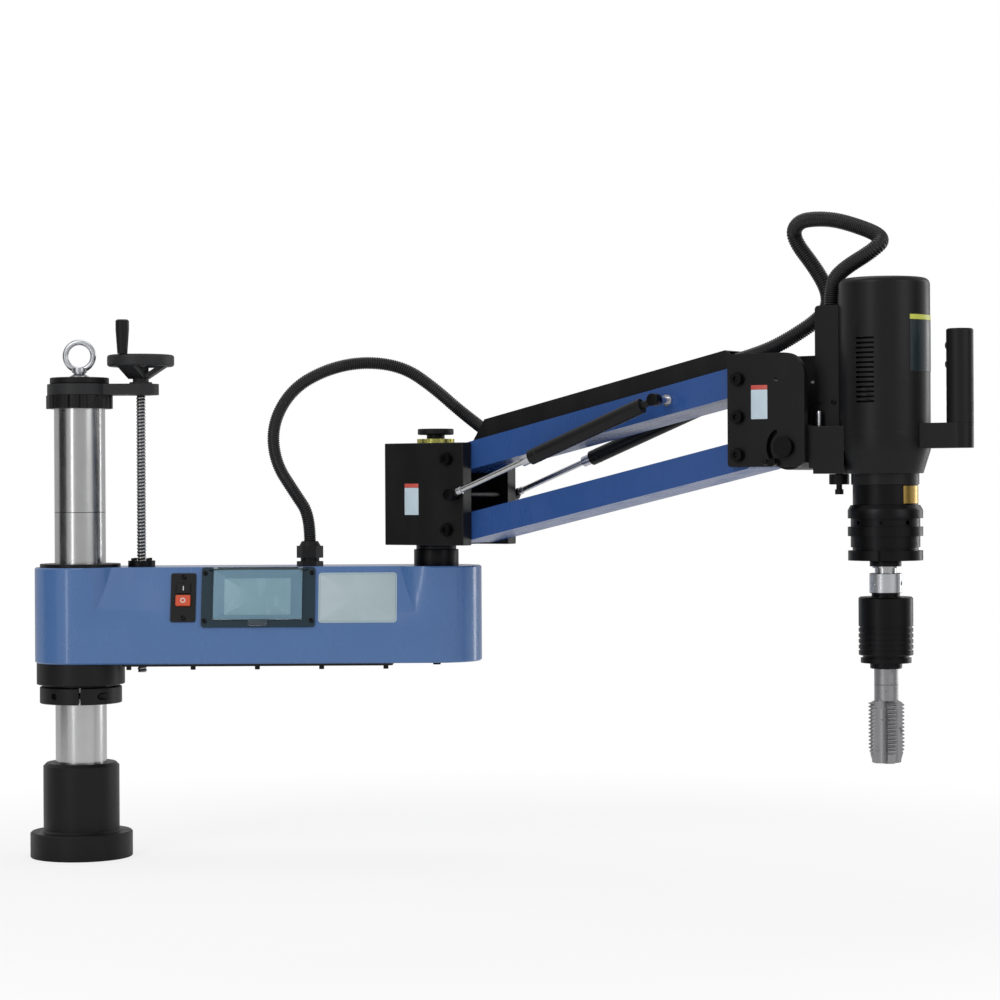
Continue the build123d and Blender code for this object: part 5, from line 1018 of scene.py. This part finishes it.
class TAPPING_OT_plates(Operator):
    """Build the bare plates, the screen under the flap and the marks on the push buttons"""

    bl_idname = "tapping.plates"
    bl_label = "Plates and marks"

    def execute(self, context):
        stroke = slab(1.3, 7, 0.5, -0.3, 0.25, 0.08)
        loop = turned([(2.5, -0.3), (3.7, -0.3), (3.7, 0.25), (2.5, 0.25)], by=0.05, columns=48,
                      bored=True)
        start, stop = body_of("start_button"), body_of("stop_button")
        for name, body, slot, shape, place in (
            ("info_plate", "arm", "label_grey", slab(116, 76, 5, -0.3, 0.5, 0.2), INFO),
            ("info_border", "arm", "screen_rim", slab(112, 72, 4, 0.3, 0.56, 0.05), INFO),
            ("info_face", "arm", "label_grey", slab(110.8, 70.8, 3.5, 0.3, 0.62, 0.05), INFO),
            ("screen_surround", "arm", "screen_rim", slab(131, 75.5, 2, 3.6, 4.35, 0.1), (271, 50.8, 0)),
            ("screen", "arm", "screen", slab(98, 55.5, 1, 4.3, 4.6, 0.1), (270.9, 47, 0)),
            ("start_mark", start, "mark_white", stroke, (160.8, 60.4, 4)),
            ("stop_mark", stop, "mark_white", loop, (160.8, 41.6, 6.5)),
        ):
            piece(name, body, slot, [set_down(shape, at(*place, frame_of=PANEL))])

        plaque = slab(25, 40, 0.8, -0.2, 0.5, 0.15)
        band = slab(25, 6, 0.8, -0.2, 0.5, 0.15)
        plaques = (("block", "elbow", 5.5, -70, 529), ("yoke", "yoke", 581.5, -59, 660))
        for name, body, x, side, z in plaques:
            place = facing(SECOND_ARM, x, side, z)
            top = facing(SECOND_ARM, x, side, z + 23.2)
            piece(name + "_plaque", body, "label_pale", [set_down(plaque, place)])
            piece(name + "_plaque_band", body, "label_red", [set_down(band, top)])

        for name, slot, shape in (
            ("clutch_plate", "brass", curved_plate(43.4, 0.7, 4, 35, 524.5, 548.5)),
            ("motor_plate", "label_dark", curved_plate(60.9, 0.6, 0, 31, 701, 769)),
            ("motor_plate_band", "label_yellow", curved_plate(60.9, 0.65, 0, 31, 769.3, 776)),
        ):
            piece(name, "head", slot, [set_down(shape, HEAD)])
        return {"FINISHED"}


# ---- fittings: what is too small or too bright for the castings' finishes


# from the rod's ball to the cylinder's ball, in millimetres
SPRING_LENGTH = 369.65


def lying(frame_of, x, side):
    """A place whose Z points out of one side of a frame."""
    turn = Matrix.Rotation(radians(90 if side < 0 else -90), 4, "X")
    return frame_of @ Matrix.Translation((x * MM, side * MM, 0)) @ turn


def along_x(frame_of, side):
    """A place whose Z points along a frame's X axis."""
    return frame_of @ Matrix.Translation((0, side * MM, 0)) @ Matrix.Rotation(radians(90), 4, "Y")


class TAPPING_OT_fittings(Operator):
    """Build the gas springs' end fittings, the pivot's rings, and small nuts, screws and caps"""

    bl_idname = "tapping.fittings"
    bl_label = "Fittings"

    def execute(self, context):
        rods, cylinders = body_of("spring_rods"), body_of("spring_cylinders")
        sides = (-82, 82)
        cup = turned([(0, 7.1), (8.1, 7.1), (8.1, -6.9), (8.7, -6.9), (8.7, 7.7), (0, 7.7)], by=0.3,
                     columns=48)
        ferrule = turned([(4.35, 7.5), (6.3, 7.5), (6.3, 11.5), (5.4, 13), (4.35, 13)], by=0.3,
                         columns=32, bored=True)
        nut = turned([(4.35, 13.1), (5.5, 13.1), (5.5, 21), (4.35, 21)], by=0.4, columns=32,
                     bored=True)
        nose = turned([(6.7, 135.2), (7.8, 135.2), (7.8, 149.5), (7.55, 149.5), (7.55, 135.45),
                       (6.7, 135.45)], by=0.1, columns=48, bored=True)
        crimp = turned([(10.9, 162.6), (11.25, 163), (11.25, 164), (10.9, 164.4)], by=0.1, columns=48,
                       bored=True)
        ends = [set_down(cup, lying(SPRING, 0, side)) for side in sides]
        far = [set_down(cup, lying(SPRING, SPRING_LENGTH, side)) for side in sides]
        lines = [along_x(SPRING, side) for side in sides]
        piece("rod_ends", rods, "black_oxide", ends + [set_down(ferrule, *lines)])
        piece("rod_nuts", rods, "bright_zinc", [set_down(nut, *lines)])
        piece("cylinder_ends", cylinders, "black_oxide", far)
        piece("cylinder_noses", cylinders, "bright_zinc", [set_down(nose, *lines)])
        piece("cylinder_crimps", cylinders, "black_enamel", [set_down(crimp, *lines)])

        spacer = turned([(20.02, 433), (33.5, 433), (33.5, 457), (20.02, 457)], by=0.8, bored=True)
        washer = turned([(15.02, 457), (30, 457), (30, 464), (15.02, 464)], by=0.5, bored=True)
        piece("pivot_spacer", "arm", "black_oxide", [set_down(spacer, ELBOW)], ["pivot_rings"])
        piece("pivot_washer", "arm", "black_oxide", [set_down(washer, ELBOW)], ["pivot_rings"])
        foot = hex_prism(11.4, 284.2, 290.4)
        piece("pivot_foot", "arm", "black_oxide", [set_down(foot, ELBOW)])

        shield = turned([(7.6, 442.02), (20.3, 442.02), (20.3, 433.05), (20.04, 433.05), (20.04, 442),
                         (7.6, 442)], by=0, columns=64, bored=True)
        piece("nut_shield", "arm", "black_oxide", [set_down(shield, LEAD_SCREW)])
        collar = turned([(17.52, 440.2), (21.2, 440.2), (21.2, 447.6), (17.52, 447.6)], by=0.5,
                        bored=True)
        piece("spindle_ring", "spindle", "black_oxide", [set_down(collar, HEAD)])
        line = turned([(37.9, 514.5), (38.02, 514.6), (38.02, 515.3), (37.9, 515.4)], by=0, bored=True)
        piece("column_line", "base", "black_oxide", [set_down(line, WORLD)])

        head = socket_screw(3.4, 2.6, 3.6)
        upper = [at(x, 83, 4, frame_of=PANEL) for x in (192.7, 350.5)]
        piece("bezel_screws", "arm", "black_oxide", [set_down(head, *upper)])
        duct = [facing(SECOND_ARM, x, -25, 662) for x in (655, 677)]
        piece("duct_screws", "head", "black_oxide", [set_down(head, *duct)])
        stop = turned([(0, 628.5), (3.2, 628.5), (3.2, 646), (2.4, 650), (0, 650)], by=0.3, columns=32)
        piece("tilt_stop", "head", "bright_zinc", [set_down(stop, at(659, -33, 0, frame_of=SECOND_ARM))])
        return {"FINISHED"}


# ---- studio

# how far the floor lies under the foot, in metres
FLOOR_DROP = 0.0004


def lamp(name, place, target, width, height, power):
    light = bpy.data.lights.new(name, "AREA")
    light.shape = "RECTANGLE"
    light.size, light.size_y = width, height
    light.energy = power
    made = bpy.data.objects.new(name, light)
    made.location = place
    made.rotation_euler = (Vector(target) - Vector(place)).to_track_quat("-Z", "Y").to_euler()
    made.visible_camera = False
    bpy.context.scene.collection.objects.link(made)


def flag(name, start, end, height):
    """A black upright sheet beside the machine that shows only in glossy surfaces."""
    (x0, y0), (x1, y1) = start, end
    mesh = bpy.data.meshes.new(name)
    corners = [(x0, y0, 0), (x1, y1, 0), (x1, y1, height), (x0, y0, height)]
    mesh.from_pydata(corners, [], [(0, 1, 2, 3)])
    mesh.materials.append(blank(name, {"Base Color": (0.01, 0.01, 0.01, 1), "Roughness": 0.9})[0])
    made = bpy.data.objects.new(name, mesh)
    for kind in ("camera", "diffuse", "shadow", "transmission"):
        setattr(made, "visible_" + kind, False)
    bpy.context.scene.collection.objects.link(made)


def seen_directly(tree):
    """1 for what the camera or clear plastic shows, 0 for light that falls on things."""
    path = node(tree, "ShaderNodeLightPath").outputs
    return maths(tree, "MAXIMUM", path["Is Camera Ray"], path["Is Transmission Ray"])


class TAPPING_OT_studio(Operator):
    """Build the floor, the lamps, the surround and the camera"""

    bl_idname = "tapping.studio"
    bl_label = "Studio"

    def execute(self, context):
        settings = context.scene.tapping_studio
        world = bpy.data.worlds.new("Studio")
        context.scene.world = world
        world.use_nodes = True
        tree = world.node_tree
        strength = node(tree, "ShaderNodeMapRange", {}, {
            "Value": seen_directly(tree), "To Min": settings.surround, "To Max": 1.0,
        }).outputs[0]
        back = tree.nodes["Background"]
        back.inputs["Color"].default_value = (1, 1, 1, 1)
        tree.links.new(strength, back.inputs["Strength"])

        columns, middle = 64, (0.6, -0.2, 0)
        a = round_angles(columns)
        rings = np.array([(r * np.cos(a), r * np.sin(a), 0 * a) for r in (0.4, 1.2, 3, 8, 20)])
        points, faces = rings_to_shape(np.moveaxis(rings, 1, -1), ends=False)
        points = np.vstack([points, [(0, 0, 0)]]) + middle - np.array((0, 0, FLOOR_DROP))
        k = np.arange(columns)
        faces.append(np.stack([np.full(columns, len(points) - 1), k, (k + 1) % columns], -1))
        mesh = bpy.data.meshes.new("floor")
        mesh.from_pydata(points.tolist(), [], [row for part in faces for row in part.tolist()])
        constants = {"Base Color": tuple(settings.floor_colour), "Roughness": 0.9}
        material, tree, shader = blank("floor", constants)
        place = node(tree, "ShaderNodeVectorMath", {"operation": "DISTANCE"},
                     {0: object_place(tree), 1: middle}).outputs["Value"]
        far = node(tree, "ShaderNodeMapRange", {"interpolation_type": "SMOOTHSTEP"},
                   {"Value": place, "From Min": 0.7, "From Max": 1.5, "To Min": 0.78}).outputs[0]
        plain = node(tree, "ShaderNodeEmission", {}, {"Color": (1, 1, 1, 1), "Strength": 1.0})
        mix = node(tree, "ShaderNodeMixShader", {}, {
            0: maths(tree, "MULTIPLY", far, seen_directly(tree)),
            1: shader.outputs[0],
            2: plain.outputs[0],
        })
        tree.links.new(mix.outputs[0], tree.nodes["Material Output"].inputs["Surface"])
        mesh.materials.append(material)
        floor = bpy.data.objects.new("floor", mesh)
        context.scene.collection.objects.link(floor)

        target = (0.6, -0.2, 0.45)
        power = settings.lamp_power
        lamp("key", (-1.6, -3.0, 2.9), target, 1.6, 1.6, power)
        lamp("fill", (3.2, -2.6, 1.8), target, 1.6, 2.0, 0.5 * power)
        lamp("top", (0.5, 0.6, 3.2), target, 2.4, 1.6, 0.6 * power)
        strip = settings.strip_power
        lamp("strip_left", (-1.6, -3.3, 0.7), target, 0.3, 2.6, 0.5 * strip)
        lamp("strip_right", (3.3, 1.3, 0.7), target, 0.6, 2.6, strip)
        flag("flag_left", (-2.5, 0.3), (-2.3, -1.7), 1.8)
        flag("flag_right", (3.6, -0.5), (3.6, -1.3), 1.8)

        camera = bpy.data.cameras.new("camera")
        camera.lens = 96
        camera.sensor_width = 36
        camera.shift_y = -0.0122
        made = bpy.data.objects.new("camera", camera)
        roll = Matrix.Rotation(radians(90), 4, "X") @ Matrix.Rotation(radians(-0.3), 4, "Z")
        made.matrix_world = Matrix.Translation((0.630, -4.0, 0.5484)) @ roll
        context.scene.collection.objects.link(made)
        context.scene.camera = made
        context.scene.view_settings.view_transform = "Standard"
        return {"FINISHED"}


# ---- panel and start


class VIEW3D_PT_tapping(Panel):
    """Lists the steps that dress the machine"""

    bl_label = "Tapping machine"
    bl_space_type = "VIEW_3D"
    bl_region_type = "UI"
    bl_category = "Tapping machine"

    def draw(self, context):
        for settings in ("tapping_finishes", "tapping_hoses", "tapping_threads", "tapping_studio"):
            box = self.layout.box()
            group_of = getattr(context.scene, settings)
            for name in group_of.__annotations__:
                box.prop(group_of, name)
        for step in STEPS:
            self.layout.operator(step.bl_idname)


STEPS = (
    TAPPING_OT_studio,
    TAPPING_OT_hoses,
    TAPPING_OT_threads,
    TAPPING_OT_castings,
    TAPPING_OT_plates,
    TAPPING_OT_fittings,
)
SETTINGS = {
    "tapping_finishes": FinishSettings,
    "tapping_hoses": HoseSettings,
    "tapping_threads": ThreadSettings,
    "tapping_studio": StudioSettings,
}


def register():
    for name, settings in SETTINGS.items():
        bpy.utils.register_class(settings)
        setattr(bpy.types.Scene, name, PointerProperty(type=settings))
    for step in (*STEPS, VIEW3D_PT_tapping):
        bpy.utils.register_class(step)


def unregister():
    for step in (VIEW3D_PT_tapping, *reversed(STEPS)):
        bpy.utils.unregister_class(step)
    for name, settings in SETTINGS.items():
        delattr(bpy.types.Scene, name)
        bpy.utils.unregister_class(settings)


def main():
    register()
    bpy.ops.tapping.studio()
    bpy.ops.tapping.hoses()
    bpy.ops.tapping.threads()
    bpy.ops.tapping.castings()
    bpy.ops.tapping.plates()
    bpy.ops.tapping.fittings()


if __name__ == "__main__":
    main()
